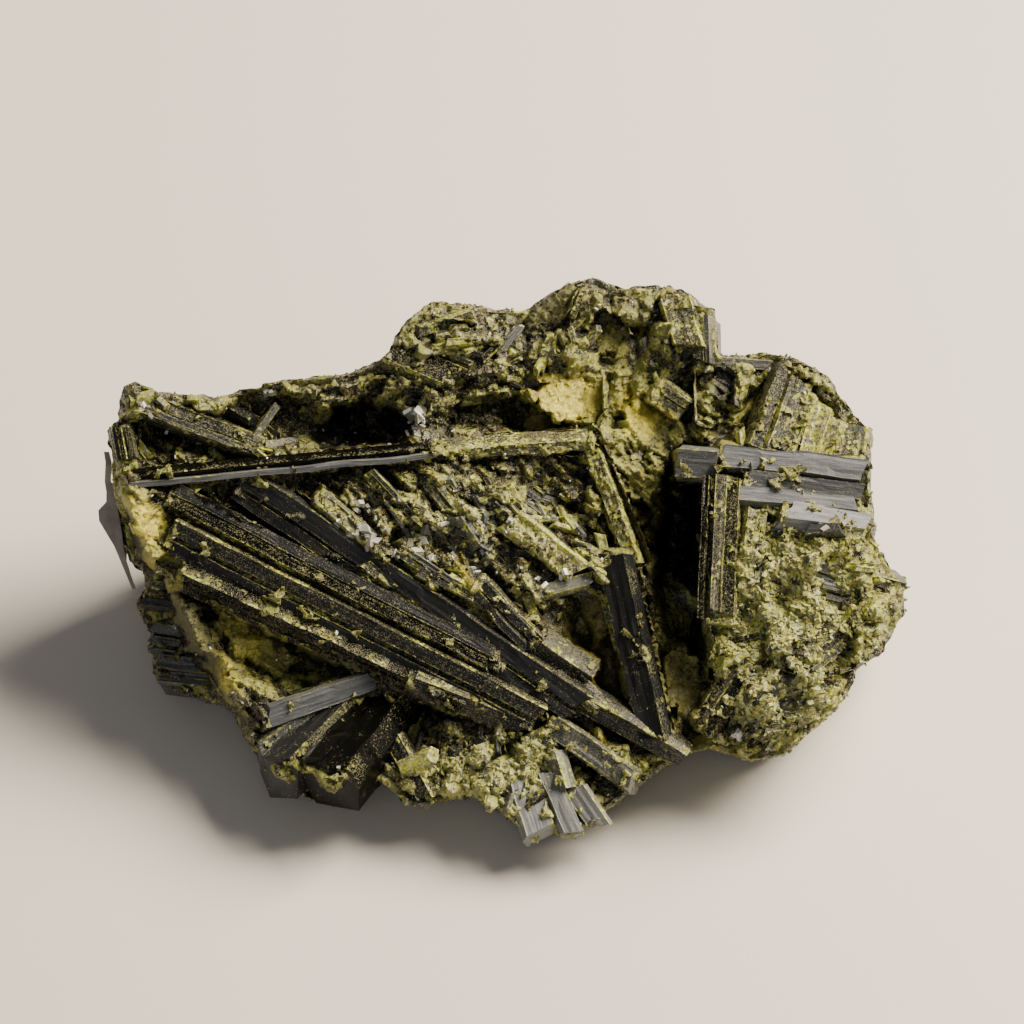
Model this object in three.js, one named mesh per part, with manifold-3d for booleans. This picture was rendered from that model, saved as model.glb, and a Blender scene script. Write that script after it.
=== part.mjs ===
// An epidote specimen: dark striated prisms grown through a mass of yellow-green grains, with a scrap of
// a paper label stuck to its left side. Millimetres, +Z up, the origin on the table under the middle.
import * as THREE from "three";
import { mergeVertices } from "three/addons/utils/BufferGeometryUtils.js";
import Module from "manifold-3d";

const wasm = await Module();
wasm.setup();

// The show face is laid out as it is seen from this far above the table: ACROSS to the right, UP the face,
// and TOWARD the eye.
const SHOW_ELEVATION = THREE.MathUtils.degToRad(42);
const ACROSS = new THREE.Vector3(1, 0, 0);
const UP = new THREE.Vector3(0, Math.sin(SHOW_ELEVATION), Math.cos(SHOW_ELEVATION));
const TOWARD = new THREE.Vector3(0, -Math.cos(SHOW_ELEVATION), Math.sin(SHOW_ELEVATION));
const MIDDLE = new THREE.Vector3(0.2, 0.4, 18.2);

// The face's mean plane leans back: it lies FACE_LIFT toward the eye at the middle, less higher up.
const FACE_LIFT = 4.5;
const FACE_SLOPE = -0.305;

const BACK_WALL = 31.5;
const FACE_STEP = 3.7;
const BACK_STEP = 6.5;
const BASE_STEP = 9;
const CONTACT_HALF_LENGTH = 30;
const CONTACT_HALF_WIDTH = 20;
const CONTACT_CENTRE = new THREE.Vector2(4, -2);
const BASE_RISE = 0.3;

// The edge of the specimen as it is seen from the show side, clockwise from the knob at the upper left
const OUTLINE = [
  [-44.3, 19.9], [-42.9, 20.4], [-40.2, 19.2], [-33.6, 18.7], [-27.8, 19.9], [-23.8, 20.9],
  [-18.6, 21.2], [-13.6, 23.2], [-12.8, 25.8], [-11.1, 27.8], [-8.5, 29.9], [-6.5, 29.6],
  [1.6, 28.4], [4.5, 30.1], [7.4, 31.8], [10.3, 32.4], [13.7, 31.4], [19.1, 31.4],
  [21.5, 30.8], [22.6, 29.3], [24.2, 28.9], [24.5, 23.2], [29.9, 23.8], [33.3, 23.3],
  [36.4, 21.8], [39.1, 18.3], [42.0, 14.3], [41.9, 8.0], [42.3, 2.2], [45.4, -3.0],
  [45.7, -5.8], [43.1, -10.5], [39.9, -12.6], [39.5, -15.0], [36.8, -18.0], [31.6, -22.3],
  [27.5, -23.0], [23.5, -21.5], [20.6, -22.0], [15.5, -25.5], [10.8, -29.2], [6.8, -31.0],
  [2.8, -31.6], [-0.7, -28.7], [-4.2, -27.2], [-10.5, -28.2], [-15.1, -24.6], [-21.7, -27.6],
  [-26.3, -25.5], [-29.6, -21.0], [-31.4, -17.4], [-38.9, -14.9], [-40.7, -13.2], [-41.0, -9.3],
  [-42.4, -5.8], [-41.8, -1.8], [-43.6, -0.5], [-44.2, 2.0], [-45.0, 5.6], [-45.3, 9.0],
  [-45.9, 14.3], [-44.7, 16.4],
];

// How the walls behind the outline step in and out with depth: [toward, share of the outline, roughness]
const WALL_LEVELS = [
  [40, 1.0, 0],
  [4, 1.0, 0.006],
  [-9, 1.0, 0.02],
  [-17, 0.96, 0.06],
  [-27, 0.9, 0.08],
  [-80, 0.84, 0.04],
];

// Mounds, hollows and steps of the show face: where, half sizes, turn in degrees, lift, and how much of
// the half size is level before it falls away
const LANDFORMS = [
  { name: "hollow under the upper left rim", at: [-30, 15.2], half: [12.5, 3.3], turn: 4, lift: -3.6, level: 0.5 },
  { name: "dark recess over the long blade", at: [-15.2, 15.2], half: [7, 2.8], turn: 6, lift: -5.2, level: 0.5 },
  { name: "gap between the long prisms", at: [-23.5, 2.6], half: [9.5, 2.3], turn: -34, lift: -6.5, level: 0.4 },
  { name: "cavity under the prisms", at: [-26.4, -9.6], half: [10.5, 5.2], turn: -32, lift: -6.4, level: 0.45 },
  { name: "granular middle", at: [-3.2, 1.2], half: [15, 9], turn: -32, lift: 2.2, level: 0.2 },
  { name: "trough behind the ledge", at: [1.5, 16.4], half: [8.5, 2.4], turn: -3, lift: -4.4, level: 0.5 },
  { name: "yellow bowl", at: [6.6, 18.6], half: [6, 3.9], turn: 0, lift: -2.4, level: 0.5 },
  { name: "second bowl", at: [17.4, 17.4], half: [5.5, 4.6], turn: 0, lift: -3.4, level: 0.4 },
  { name: "smooth hollow under the peak", at: [13.2, 24.4], half: [3.6, 3.2], turn: 40, lift: -2.6, level: 0.4 },
  { name: "upper left ridge", at: [-9, 23.5], half: [9, 6], turn: 35, lift: 1.4, level: 0.3 },
  { name: "slope into the cleft", at: [18.2, 2.5], half: [6.5, 13], turn: 0, lift: -5, level: 0.15 },
  { name: "deep cleft", at: [20.6, -0.6], half: [3.2, 11.5], turn: 3, lift: -9, level: 0.6 },
  { name: "tan hollow left of the standing prism", at: [10.8, -12], half: [3.4, 8.6], turn: 18, lift: -4.4, level: 0.45 },
  { name: "tan hollow right of it", at: [20.4, -14.4], half: [3.8, 6.8], turn: 8, lift: -4, level: 0.4 },
  { name: "right block", at: [33.8, -5.6], half: [11, 17], turn: 6, lift: 4.2, level: 0.72 },
  { name: "recess over the right block", at: [33, 15.6], half: [8.5, 4.4], turn: -8, lift: -3, level: 0.5 },
  { name: "bottom mound", at: [-1.5, -23.4], half: [11, 6.5], turn: -10, lift: 1.8, level: 0.3 },
  { name: "dark nook beside the thick prisms", at: [-10.8, -18.6], half: [3.2, 5.5], turn: -30, lift: -3, level: 0.4 },
];

// The left rim runs down from the knob: past this line the face drops to the older crystals under it.
const RIM_LINE = [new THREE.Vector2(-43.8, 8.0), new THREE.Vector2(-31.0, -17.0)];
const RIM_DROP = 10;
const RIM_DROP_WIDTH = 2.6;

// The long and thick crystals: both ends as [across, up, lift over the mean plane], breadth, thickness,
// roll about the axis in degrees, and how steeply the two end faces slope
const PRISMS = [
  { name: "long blade", from: [-43.4, 9.1, 0.9], to: [-8.0, 12.4, 1.4], size: [2.5, 3.4], roll: 24, grooves: 1, slopes: [0.2, 0.3] },
  { name: "coated blade", from: [-9.5, 12.2, 1.2], to: [9.9, 13.7, 0.9], size: [2.9, 4.4], roll: 18, grooves: 1, slopes: [0.1, -0.5] },
  { name: "upper long prism", from: [-31.4, 10.4, -0.6], to: [8.3, -16.6, 0.6], size: [4.2, 5.0], roll: -18, grooves: 2, slopes: [0.3, 0.6] },
  { name: "middle long prism", from: [-40.6, 8.0, 0.5], to: [-0.4, -12.8, 1.0], size: [3.3, 4.6], roll: -22, grooves: 2, slopes: [0.2, -0.4] },
  { name: "broad long prism", from: [-40.8, 4.6, 0.6], to: [3.6, -18.0, 1.6], size: [3.8, 5.0], roll: 12, grooves: 2, slopes: [0.2, 0.7] },
  { name: "lower long prism", from: [-39.6, 0.6, 0.0], to: [-5.0, -15.8, 0.8], size: [3.1, 5.2], roll: 34, grooves: 2, slopes: [0.3, 0.4] },
  { name: "short lower prism", from: [-11.0, -13.4, 1.4], to: [2.2, -18.8, 1.2], size: [2.8, 3.4], roll: 30, grooves: 1, slopes: [0.4, -0.6] },
  { name: "upper standing prism", from: [10.2, 13.2, 0.2], to: [15.2, -0.6, -0.6], size: [3.0, 4.6], roll: -14, grooves: 1, slopes: [0.4, 0.2] },
  { name: "standing prism", from: [12.7, 0.6, 0.2], to: [17.4, -20.6, 0.2], size: [4.4, 5.2], roll: -12, grooves: 2, slopes: [0.4, 0.3] },
  { name: "side prism of the hollow", from: [11.2, -2.6, -0.8], to: [13.4, -10.5, -1.4], size: [1.9, 2.6], roll: 10, grooves: 1, slopes: [0.3, 0.5] },
  { name: "right foot prism", from: [8.4, -15.4, 0.4], to: [20.6, -22.3, 0.6], size: [2.6, 3.6], roll: 26, grooves: 1, slopes: [0.2, 0.2] },
  { name: "middle foot prism", from: [5.0, -18.8, 0.5], to: [14.8, -25.4, 0.6], size: [2.9, 3.6], roll: 8, grooves: 1, slopes: [0.3, -0.3] },
  { name: "silver bar", from: [-27.9, -18.2, 0.2], to: [-15.2, -13.6, -0.8], size: [2.7, 3.2], roll: 10, grooves: 1, slopes: [0.5, 0.2] },
  { name: "thick prism", from: [-11.6, -14.6, -1.8], to: [-20.7, -25.9, 1.4], size: [8.8, 7.4], roll: -12, grooves: 2, slopes: [0.3, -0.3] },
  { name: "thick side prism", from: [-17.4, -16.4, -2.2], to: [-24.8, -24.0, 0.4], size: [4.6, 6.0], roll: 22, grooves: 1, slopes: [0.3, -0.3] },
  { name: "small thick prism", from: [-22.0, -18.0, -1.6], to: [-27.6, -21.8, -0.8], size: [3.4, 4.2], roll: -8, grooves: 1, slopes: [0.2, 0.4] },
  { name: "toe prism", from: [-13.6, -20.5, -1.8], to: [-9.4, -28.0, -0.6], size: [4.2, 3.4], roll: 16, grooves: 1, slopes: [0.2, 0.5] },
  { name: "bottom left plate", from: [1.6, -24.6, 0.6], to: [3.8, -31.5, 1.4], size: [4.4, 2.8], roll: 8, grooves: 1, slopes: [0.3, -0.2] },
  { name: "bottom middle plate", from: [4.6, -24.8, 0.4], to: [7.6, -31.4, 1.2], size: [2.6, 3.4], roll: -24, grooves: 2, slopes: [0.3, 0.3] },
  { name: "bottom right plate", from: [7.8, -26.2, 0.2], to: [10.6, -30.2, 0.4], size: [2.8, 2.6], roll: 20, grooves: 1, slopes: [0.3, 0.6] },
  { name: "front small prism", from: [5.6, -22.0, 1.6], to: [6.9, -26.2, 1.9], size: [2.2, 2.2], roll: 40, grooves: 1, slopes: [0.3, 0.2] },
  { name: "gray tablet", from: [3.6, -9.2, 1.4], to: [9.6, -13.2, 1.2], size: [3.2, 3.0], roll: 36, grooves: 1, slopes: [0.5, 0.3] },
  { name: "second gray tablet", from: [6.2, -13.0, 0.8], to: [10.8, -17.4, 0.9], size: [2.8, 2.8], roll: -34, grooves: 1, slopes: [0.3, 0.4] },
  { name: "silver tablet", from: [3.0, -4.6, 1.8], to: [10.0, -3.0, 0.8], size: [2.6, 2.4], roll: -20, grooves: 1, slopes: [0.6, 0.5] },
  { name: "block corner", from: [20.2, 11.0, 1.2], to: [24.6, 10.8, 2.4], size: [3.4, 5.2], roll: 6, grooves: 1, slopes: [0.1, 0.1] },
  { name: "top shelf prism", from: [24.4, 11.3, 2.2], to: [41.4, 9.2, 1.0], size: [3.0, 5.2], roll: -26, grooves: 1, slopes: [0.1, 0.3] },
  { name: "second shelf prism", from: [26.6, 8.9, 2.7], to: [41.8, 7.1, 1.4], size: [2.0, 4.6], roll: -12, grooves: 1, slopes: [0.3, 0.2] },
  { name: "third shelf prism", from: [25.2, 7.0, 3.2], to: [41.2, 5.4, 2.0], size: [1.8, 4.4], roll: -30, grooves: 1, slopes: [0.1, -0.3] },
  { name: "lower shelf prism", from: [31.0, 4.8, 3.6], to: [41.9, 2.9, 2.4], size: [2.9, 4.4], roll: -18, grooves: 2, slopes: [0.5, 0.3] },
  { name: "cleft wall prism", from: [25.4, 9.6, 2.2], to: [24.6, -9.2, 3.0], size: [3.2, 8.2], roll: 8, grooves: 1, slopes: [0.1, 0.3] },
  { name: "second wall prism", from: [27.6, 6.6, 3.2], to: [26.6, -5.2, 4.0], size: [2.6, 6.0], roll: -14, grooves: 1, slopes: [0.4, 0.4] },
  { name: "lower wall prism", from: [28.6, -10.8, 1.6], to: [22.8, -19.6, 0.4], size: [3.4, 4.6], roll: 20, grooves: 2, slopes: [0.2, 0.4] },
  { name: "right tip prism", from: [34.8, -0.6, 1.6], to: [45.6, -3.4, -1.2], size: [2.4, 4.4], roll: 14, grooves: 2, slopes: [0.2, 0.4] },
  { name: "lower tip prism", from: [35.4, -3.6, 1.0], to: [45.4, -6.0, -1.8], size: [2.6, 4.0], roll: -18, grooves: 1, slopes: [0.2, 0.3] },
  { name: "dark lump prism", from: [33.0, -12.4, 4.2], to: [38.6, -7.4, 2.6], size: [3.2, 4.4], roll: 30, grooves: 1, slopes: [0.4, 0.4] },
  { name: "first lobe rib", from: [32.8, 21.6, -0.8], to: [28.4, 12.8, -0.4], size: [2.6, 4.4], roll: -26, grooves: 1, slopes: [0.3, 0.2] },
  { name: "second lobe rib", from: [35.6, 19.8, -1.2], to: [32.4, 12.0, -0.6], size: [2.6, 4.6], roll: -32, grooves: 1, slopes: [0.3, 0.2] },
  { name: "third lobe rib", from: [37.6, 17.6, -1.6], to: [35.6, 11.0, -0.8], size: [2.4, 4.6], roll: -22, grooves: 1, slopes: [0.4, 0.2] },
  { name: "fourth lobe rib", from: [39.4, 14.8, -2.2], to: [38.6, 9.8, -1.4], size: [2.4, 4.2], roll: -30, grooves: 1, slopes: [0.2, 0.2] },
  { name: "square end", from: [41.0, 15.0, -2.6], to: [40.4, 9.8, -2.8], size: [2.6, 3.8], roll: 20, grooves: 1, slopes: [0.1, 0.1] },
  { name: "notch blade", from: [22.6, 22.9, -1.6], to: [30.4, 22.4, -2.2], size: [1.3, 2.6], roll: 0, grooves: 0, slopes: [0.1, 0.3] },
  { name: "peak block", from: [19.8, 29.6, -0.8], to: [21.4, 24.4, 0.2], size: [3.8, 4.6], roll: 22, grooves: 1, slopes: [0.2, 0.4] },
  { name: "peak rib", from: [10.4, 30.4, -0.8], to: [15.0, 21.6, -0.2], size: [2.4, 4.0], roll: -36, grooves: 1, slopes: [0.3, 0.4] },
  { name: "peak wall", from: [23.0, 28.6, -0.8], to: [23.2, 15.4, -0.6], size: [2.2, 5.6], roll: 12, grooves: 1, slopes: [0.2, 0.4] },
  { name: "divider of the bowls", from: [12.6, 21.4, -0.2], to: [11.6, 14.4, -0.4], size: [1.8, 3.8], roll: 20, grooves: 0, slopes: [0.3, 0.5] },
  { name: "left ridge prism", from: [-11.2, 25.2, -0.4], to: [-3.6, 27.6, -0.8], size: [3.4, 4.0], roll: 14, grooves: 1, slopes: [0.5, 0.2] },
  { name: "left slope prism", from: [-13.4, 23.6, 0.2], to: [-5.4, 19.6, 1.2], size: [4.4, 4.6], roll: -24, grooves: 1, slopes: [0.3, 0.5] },
  { name: "upper rim prism", from: [-42.6, 17.8, 0.0], to: [-28.4, 12.4, -1.2], size: [2.8, 3.4], roll: -20, grooves: 1, slopes: [0.3, 0.5] },
  { name: "crossing needle", from: [-29.8, 13.0, -1.2], to: [-26.6, 17.6, -1.0], size: [0.9, 1.4], roll: 0, grooves: 0, slopes: [0.3, 0.4] },
  { name: "left knob", from: [-43.9, 17.4, -0.8], to: [-41.0, 18.2, -0.4], size: [3.0, 4.0], roll: 12, grooves: 0, slopes: [0.4, 0.3] },
  { name: "left wall prism", from: [-44.2, 15.4, -1.0], to: [-43.2, 10.2, -0.6], size: [2.6, 4.8], roll: -30, grooves: 1, slopes: [0.4, 0.3] },
  { name: "under rim upper", from: [-34.0, -5.6, -10.5], to: [-41.4, -4.4, -11.0], size: [3.4, 5.0], roll: 12, grooves: 2, slopes: [0.2, 0.3] },
  { name: "under rim middle", from: [-31.0, -10.6, -12.5], to: [-40.2, -9.0, -13.0], size: [3.6, 5.0], roll: -16, grooves: 2, slopes: [0.2, 0.4] },
  { name: "under rim lower", from: [-29.0, -14.8, -13.5], to: [-39.9, -13.4, -14.2], size: [3.4, 4.8], roll: 20, grooves: 2, slopes: [0.2, 0.2] },
];

// Where the smaller crystals are thick on the ground: centre, half sizes, how many, and their usual
// direction on the face in degrees
const DRUSES = [
  { at: [-3, 1], half: [15, 7], count: 13, turn: -32 },
  { at: [33, -6], half: [10, 10], count: 10, turn: 20 },
  { at: [-1, -23.4], half: [9, 3.6], count: 6, turn: 60 },
  { at: [-6, 23], half: [13, 5], count: 8, turn: 15 },
  { at: [13, 25], half: [11, 6], count: 7, turn: 70 },
  { at: [-34, 14], half: [9, 4], count: 4, turn: -30 },
  { at: [33, 15.6], half: [6.5, 3.6], count: 3, turn: 65 },
];
const TAPER = 0.9;
const DRUSE_LENGTH = [2.6, 5.2];
const DRUSE_BREADTH = [1.1, 2.2];
const BACK_CRYSTALS = 11;

// The scrap of label: stations down its length with the across of its outer and inner edge, the up, and
// how far it runs back from there along the wall
const SLIP_THICKNESS = 0.35;
const SLIP_GAP = 0.35;
const SLIP_DEPTH = -7;
const SLIP_CURL = 1.4;
const SLIP_STATIONS = [
  { outer: -46.6, inner: -46.2, up: 12.4, back: 0.3 },
  { outer: -46.4, inner: -45.9, up: 11.2, back: 0.3 },
  { outer: -46.5, inner: -46.0, up: 9.0, back: 0.3 },
  { outer: -46.3, inner: -45.4, up: 7.8, back: 1.6 },
  { outer: -46.3, inner: -45.2, up: 6.6, back: 4.4 },
  { outer: -47.2, inner: -45.1, up: 5.6, back: 5.6 },
  { outer: -47.1, inner: -44.9, up: 4.4, back: 6.0 },
  { outer: -46.3, inner: -44.7, up: 3.0, back: 5.4 },
  { outer: -45.4, inner: -44.5, up: 1.5, back: 3.4 },
  { outer: -44.7, inner: -44.2, up: -0.2, back: 0.4 },
  { outer: -43.9, inner: -43.6, up: -2.1, back: 0.3 },
  { outer: -43.3, inner: -43.1, up: -3.5, back: 0.3 },
];

// A point from its distances across, up and toward the eye
function place(across, up, toward) {
  return MIDDLE.clone()
    .addScaledVector(ACROSS, across)
    .addScaledVector(UP, up)
    .addScaledVector(TOWARD, toward);
}

// A point from its place on the show face and its lift over the face's mean plane
function onFace([across, up, lift]) {
  return place(across, up, FACE_LIFT + FACE_SLOPE * up + lift);
}

// A number from 0 to 1 that depends only on its arguments
function chance(i, j, k) {
  const wave = Math.sin(i * 127.1 + j * 311.7 + k * 74.7) * 43758.5453;
  return wave - Math.floor(wave);
}

// A number between two limits, by chance
function between(low, high, share) {
  return low + (high - low) * share;
}

// The broken, faceted surface of a crystal mass: each cell is a small plane with its own height and tilt
function facets(u, v, cell, height, tilt, seed) {
  const column = Math.floor(u / cell);
  const row = Math.floor(v / cell);
  let nearest = Infinity;
  let result = 0;
  for (let i = column - 1; i <= column + 1; i++) {
    for (let j = row - 1; j <= row + 1; j++) {
      const du = u - (i + chance(i, j, seed)) * cell;
      const dv = v - (j + chance(i, j, seed + 1)) * cell;
      const distance = du * du + dv * dv;
      if (distance < nearest) {
        nearest = distance;
        result = height * (2 * chance(i, j, seed + 2) - 1)
          + tilt * du * (2 * chance(i, j, seed + 3) - 1)
          + tilt * dv * (2 * chance(i, j, seed + 4) - 1);
      }
    }
  }
  return result;
}

// How much of a landform's lift a place gets: all of it inside its level part, none past its half sizes
function share(landform, across, up) {
  const turn = THREE.MathUtils.degToRad(landform.turn);
  const x = across - landform.at[0];
  const y = up - landform.at[1];
  const along = (x * Math.cos(turn) + y * Math.sin(turn)) / landform.half[0];
  const aside = (y * Math.cos(turn) - x * Math.sin(turn)) / landform.half[1];
  return 1 - THREE.MathUtils.smoothstep(Math.hypot(along, aside), landform.level, 1.25);
}

// Lift of the show face over its mean plane
function faceLift(across, up) {
  let lift = 0;
  for (const landform of LANDFORMS) lift += landform.lift * share(landform, across, up);
  const rim = RIM_LINE[1].clone().sub(RIM_LINE[0]).normalize();
  const past = (across - RIM_LINE[0].x) * rim.y - (up - RIM_LINE[0].y) * rim.x;
  lift -= RIM_DROP * THREE.MathUtils.smoothstep(past, 0, RIM_DROP_WIDTH);
  return lift + facets(across, up, 5, 1.0, 0.5, 3) + facets(across, up, 2.9, 0.45, 0.4, 11);
}

// A closed three.js geometry as a solid
function solidOf(geometry) {
  const bare = geometry.index ? geometry.toNonIndexed() : geometry.clone();
  bare.deleteAttribute("normal");
  bare.deleteAttribute("uv");
  const merged = mergeVertices(bare, 1e-4);
  const solid = new wasm.Manifold(new wasm.Mesh({
    numProp: 3,
    vertProperties: merged.attributes.position.array,
    triVerts: new Uint32Array(merged.index.array),
  }));
  if (solid.volume() < 0) throw new Error("a solid is inside out");
  return solid;
}

// A geometry from points and faces that index them
function geometryOf(points, faces) {
  const geometry = new THREE.BufferGeometry().setFromPoints(points);
  geometry.setIndex(faces.flat());
  return geometry;
}

// A block with one uneven side: a grid over u and v, put in place by where(u, v), and a flat side that
// lies depth behind it along the unit vector inward
function unevenBlock({ u, v, step, where, inward, depth, seed }) {
  const columns = Math.round((u[1] - u[0]) / step);
  const rows = Math.round((v[1] - v[0]) / step);
  const points = [];
  for (let j = 0; j <= rows; j++) {
    for (let i = 0; i <= columns; i++) {
      const edge = i === 0 || j === 0 || i === columns || j === rows;
      const stray = edge ? 0 : 0.32 * step;
      points.push(where(
        u[0] + ((u[1] - u[0]) * i) / columns + stray * (2 * chance(i, j, seed) - 1),
        v[0] + ((v[1] - v[0]) * j) / rows + stray * (2 * chance(i, j, seed + 1) - 1),
      ));
    }
  }
  const faces = [];
  const at = (i, j) => j * (columns + 1) + i;
  for (let j = 0; j < rows; j++) {
    for (let i = 0; i < columns; i++) {
      const [a, b, c, d] = [at(i, j), at(i + 1, j), at(i + 1, j + 1), at(i, j + 1)];
      const along = points[a].distanceTo(points[c]) < points[b].distanceTo(points[d]);
      faces.push(...(along ? [[a, b, c], [a, c, d]] : [[a, b, d], [b, c, d]]));
    }
  }
  const ring = [];
  for (let i = 0; i < columns; i++) ring.push(at(i, 0));
  for (let j = 0; j < rows; j++) ring.push(at(columns, j));
  for (let i = columns; i > 0; i--) ring.push(at(i, rows));
  for (let j = rows; j > 0; j--) ring.push(at(0, j));
  const first = points.length;
  const reach = Math.max(...ring.map((k) => points[k].dot(inward))) + depth;
  for (const k of ring) {
    points.push(points[k].clone().addScaledVector(inward, reach - points[k].dot(inward)));
  }
  const middle = points.length;
  points.push(ring.reduce((sum, _, k) => sum.addScaledVector(points[first + k], 1 / ring.length), new THREE.Vector3()));
  ring.forEach((k, n) => {
    const next = (n + 1) % ring.length;
    faces.push([ring[next], k, first + n], [ring[next], first + n, first + next]);
    faces.push([first + next, first + n, middle]);
  });
  return solidOf(geometryOf(points, faces));
}

// The show face: everything behind its uneven surface
function showFaceBlock() {
  return unevenBlock({
    u: [-51, 51],
    v: [-37, 37],
    step: FACE_STEP,
    where: (across, up) => onFace([across, up, faceLift(across, up)]),
    inward: TOWARD.clone().negate(),
    depth: 60,
    seed: 40,
  });
}

// The base: level where it touches the table, and rising in broken steps toward the edges
function baseBlock() {
  const rise = (x, y) => {
    const far = Math.hypot(
      (x - CONTACT_CENTRE.x) / CONTACT_HALF_LENGTH,
      (y - CONTACT_CENTRE.y) / CONTACT_HALF_WIDTH,
    );
    if (far < 1) return 0;
    return Math.max(0.4, (far - 1) * CONTACT_HALF_WIDTH * BASE_RISE + facets(x, y, 9, 0.8, 0.2, 21));
  };
  return unevenBlock({
    u: [-60, 60],
    v: [-48, 48],
    step: BASE_STEP,
    where: (x, minusY) => new THREE.Vector3(x, -minusY, rise(x, -minusY)),
    inward: new THREE.Vector3(0, 0, 1),
    depth: 60,
    seed: 50,
  });
}

// The back: a steep broken wall that bows out in the middle
function backBlock() {
  const bow = (x, z) => BACK_WALL - 0.006 * (x - 8) ** 2 - 0.006 * (z - 14) ** 2 + facets(x, z, 8, 1.5, 0.4, 31);
  return unevenBlock({
    u: [-60, 60],
    v: [-10, 70],
    step: BACK_STEP,
    where: (minusX, z) => new THREE.Vector3(-minusX, bow(-minusX, z), z),
    inward: new THREE.Vector3(0, -1, 0),
    depth: 60,
    seed: 60,
  });
}

// The walls: the outline carried back through the levels, each ring a little smaller and rougher, and all
// of it swollen by spare
function wallBlock(spare = 0) {
  const count = OUTLINE.length;
  const points = [];
  WALL_LEVELS.forEach(([toward, size, rough], level) => {
    OUTLINE.forEach(([across, up], n) => {
      const stretch = size - rough * chance(n, level, 5) + spare / Math.hypot(across, up);
      points.push(place(across * stretch, up * stretch, toward));
    });
  });
  const front = points.length;
  points.push(place(0, 0, WALL_LEVELS[0][0]), place(0, 0, WALL_LEVELS.at(-1)[0]));
  const last = (WALL_LEVELS.length - 1) * count;
  const faces = [];
  for (let n = 0; n < count; n++) {
    const next = (n + 1) % count;
    faces.push([front, next, n], [front + 1, last + n, last + next]);
    for (let level = 0; level + 1 < WALL_LEVELS.length; level++) {
      const [a, b] = [level * count + n, level * count + next];
      const [c, d] = [a + count, b + count];
      faces.push([a, b, d], [a, d, c]);
    }
  }
  return solidOf(geometryOf(points, faces));
}

// A prism's cross-section: a flattened hexagon whose near face is stepped and grooved along the crystal
function section(breadth, thickness, grooves) {
  const half = breadth / 2;
  const shoulder = 0.72 * half;
  const near = [];
  const steps = 2 * grooves + 1;
  for (let n = 0; n <= steps; n++) {
    const inner = n > 0 && n < steps;
    const stray = inner ? 0.6 * (chance(n, breadth, 1) - 0.5) : 0;
    const sunk = inner ? 0.14 * breadth * chance(n, breadth, 2) : 0;
    near.push([between(shoulder, -shoulder, (n + stray) / steps), thickness / 2 - sunk]);
  }
  return [[half, 0.12 * thickness], ...near, [-half, 0.12 * thickness],
    [-shoulder, -thickness / 2], [shoulder, -thickness / 2]];
}

// A prism between two points, its near face turned to the eye and then rolled about its axis
function prism(from, to, [breadth, thickness], roll, grooves, [startSlope, endSlope]) {
  const axis = to.clone().sub(from).normalize();
  const near = TOWARD.clone().addScaledVector(axis, -TOWARD.dot(axis)).normalize();
  const aside = new THREE.Vector3().crossVectors(near, axis);
  const turned = THREE.MathUtils.degToRad(roll);
  near.applyAxisAngle(axis, turned);
  aside.applyAxisAngle(axis, turned);
  const outline = section(breadth, thickness, grooves);
  const corner = (end, slope, size) => ([s, t]) => end.clone()
    .addScaledVector(aside, size * s)
    .addScaledVector(near, size * t)
    .addScaledVector(axis, slope * (s + 0.6 * t));
  const points = [
    ...outline.map(corner(from, startSlope, 1)),
    ...outline.map(corner(to, endSlope, TAPER)),
  ];
  const count = outline.length;
  const cap = THREE.ShapeUtils.triangulateShape(outline.map(([s, t]) => new THREE.Vector2(s, t)), []);
  const faces = [
    ...cap.map(([a, b, c]) => [c, b, a]),
    ...cap.map(([a, b, c]) => [count + a, count + b, count + c]),
  ];
  for (let n = 0; n < count; n++) {
    const next = (n + 1) % count;
    faces.push([n, next, next + count], [n, next + count, n + count]);
  }
  return solidOf(geometryOf(points, faces));
}

// The smaller crystals of one druse, half sunk in the face
function druse({ at, half, count, turn }, seed) {
  const crystals = [];
  for (let n = 0; n < count; n++) {
    const round = 2 * Math.PI * chance(n, seed, 1);
    const out = Math.sqrt(chance(n, seed, 2));
    const across = at[0] + half[0] * out * Math.cos(round);
    const up = at[1] + half[1] * out * Math.sin(round);
    const lift = faceLift(across, up);
    const length = between(...DRUSE_LENGTH, chance(n, seed, 3));
    const breadth = between(...DRUSE_BREADTH, chance(n, seed, 4));
    const heading = THREE.MathUtils.degToRad(turn + 100 * (chance(n, seed, 5) - 0.5));
    const reach = length / 2;
    const dip = 0.5 * length * (chance(n, seed, 6) - 0.5);
    const ends = [-1, 1].map((side) => onFace([
      across + side * reach * Math.cos(heading),
      up + side * reach * Math.sin(heading),
      lift + side * dip + 0.1 * breadth,
    ]));
    crystals.push(prism(ends[0], ends[1], [breadth, 1.5 * breadth], 90 * chance(n, seed, 7) - 45, 0, [0.4, -0.4]));
  }
  return crystals;
}

// Stout crystals that break up the back wall
function backCrystals() {
  const crystals = [];
  for (let n = 0; n < BACK_CRYSTALS; n++) {
    const x = between(-34, 38, chance(n, 8, 1));
    const z = between(4, 19, chance(n, 8, 2));
    const y = BACK_WALL - 0.006 * (x - 8) ** 2 - 0.006 * (z - 14) ** 2 - 1.2;
    const heading = 2 * Math.PI * chance(n, 8, 3);
    const reach = between(2.5, 5.5, chance(n, 8, 4));
    const way = new THREE.Vector3(Math.cos(heading), 0.5 * (chance(n, 8, 5) - 0.5), 0.7 * Math.sin(heading));
    const middle = new THREE.Vector3(x, y, z);
    const breadth = between(2.4, 4.4, chance(n, 8, 6));
    crystals.push(prism(
      middle.clone().addScaledVector(way, -reach),
      middle.clone().addScaledVector(way, reach),
      [breadth, 1.3 * breadth], 180 * chance(n, 8, 7), 0, [0.4, 0.3],
    ));
  }
  return crystals;
}

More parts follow.
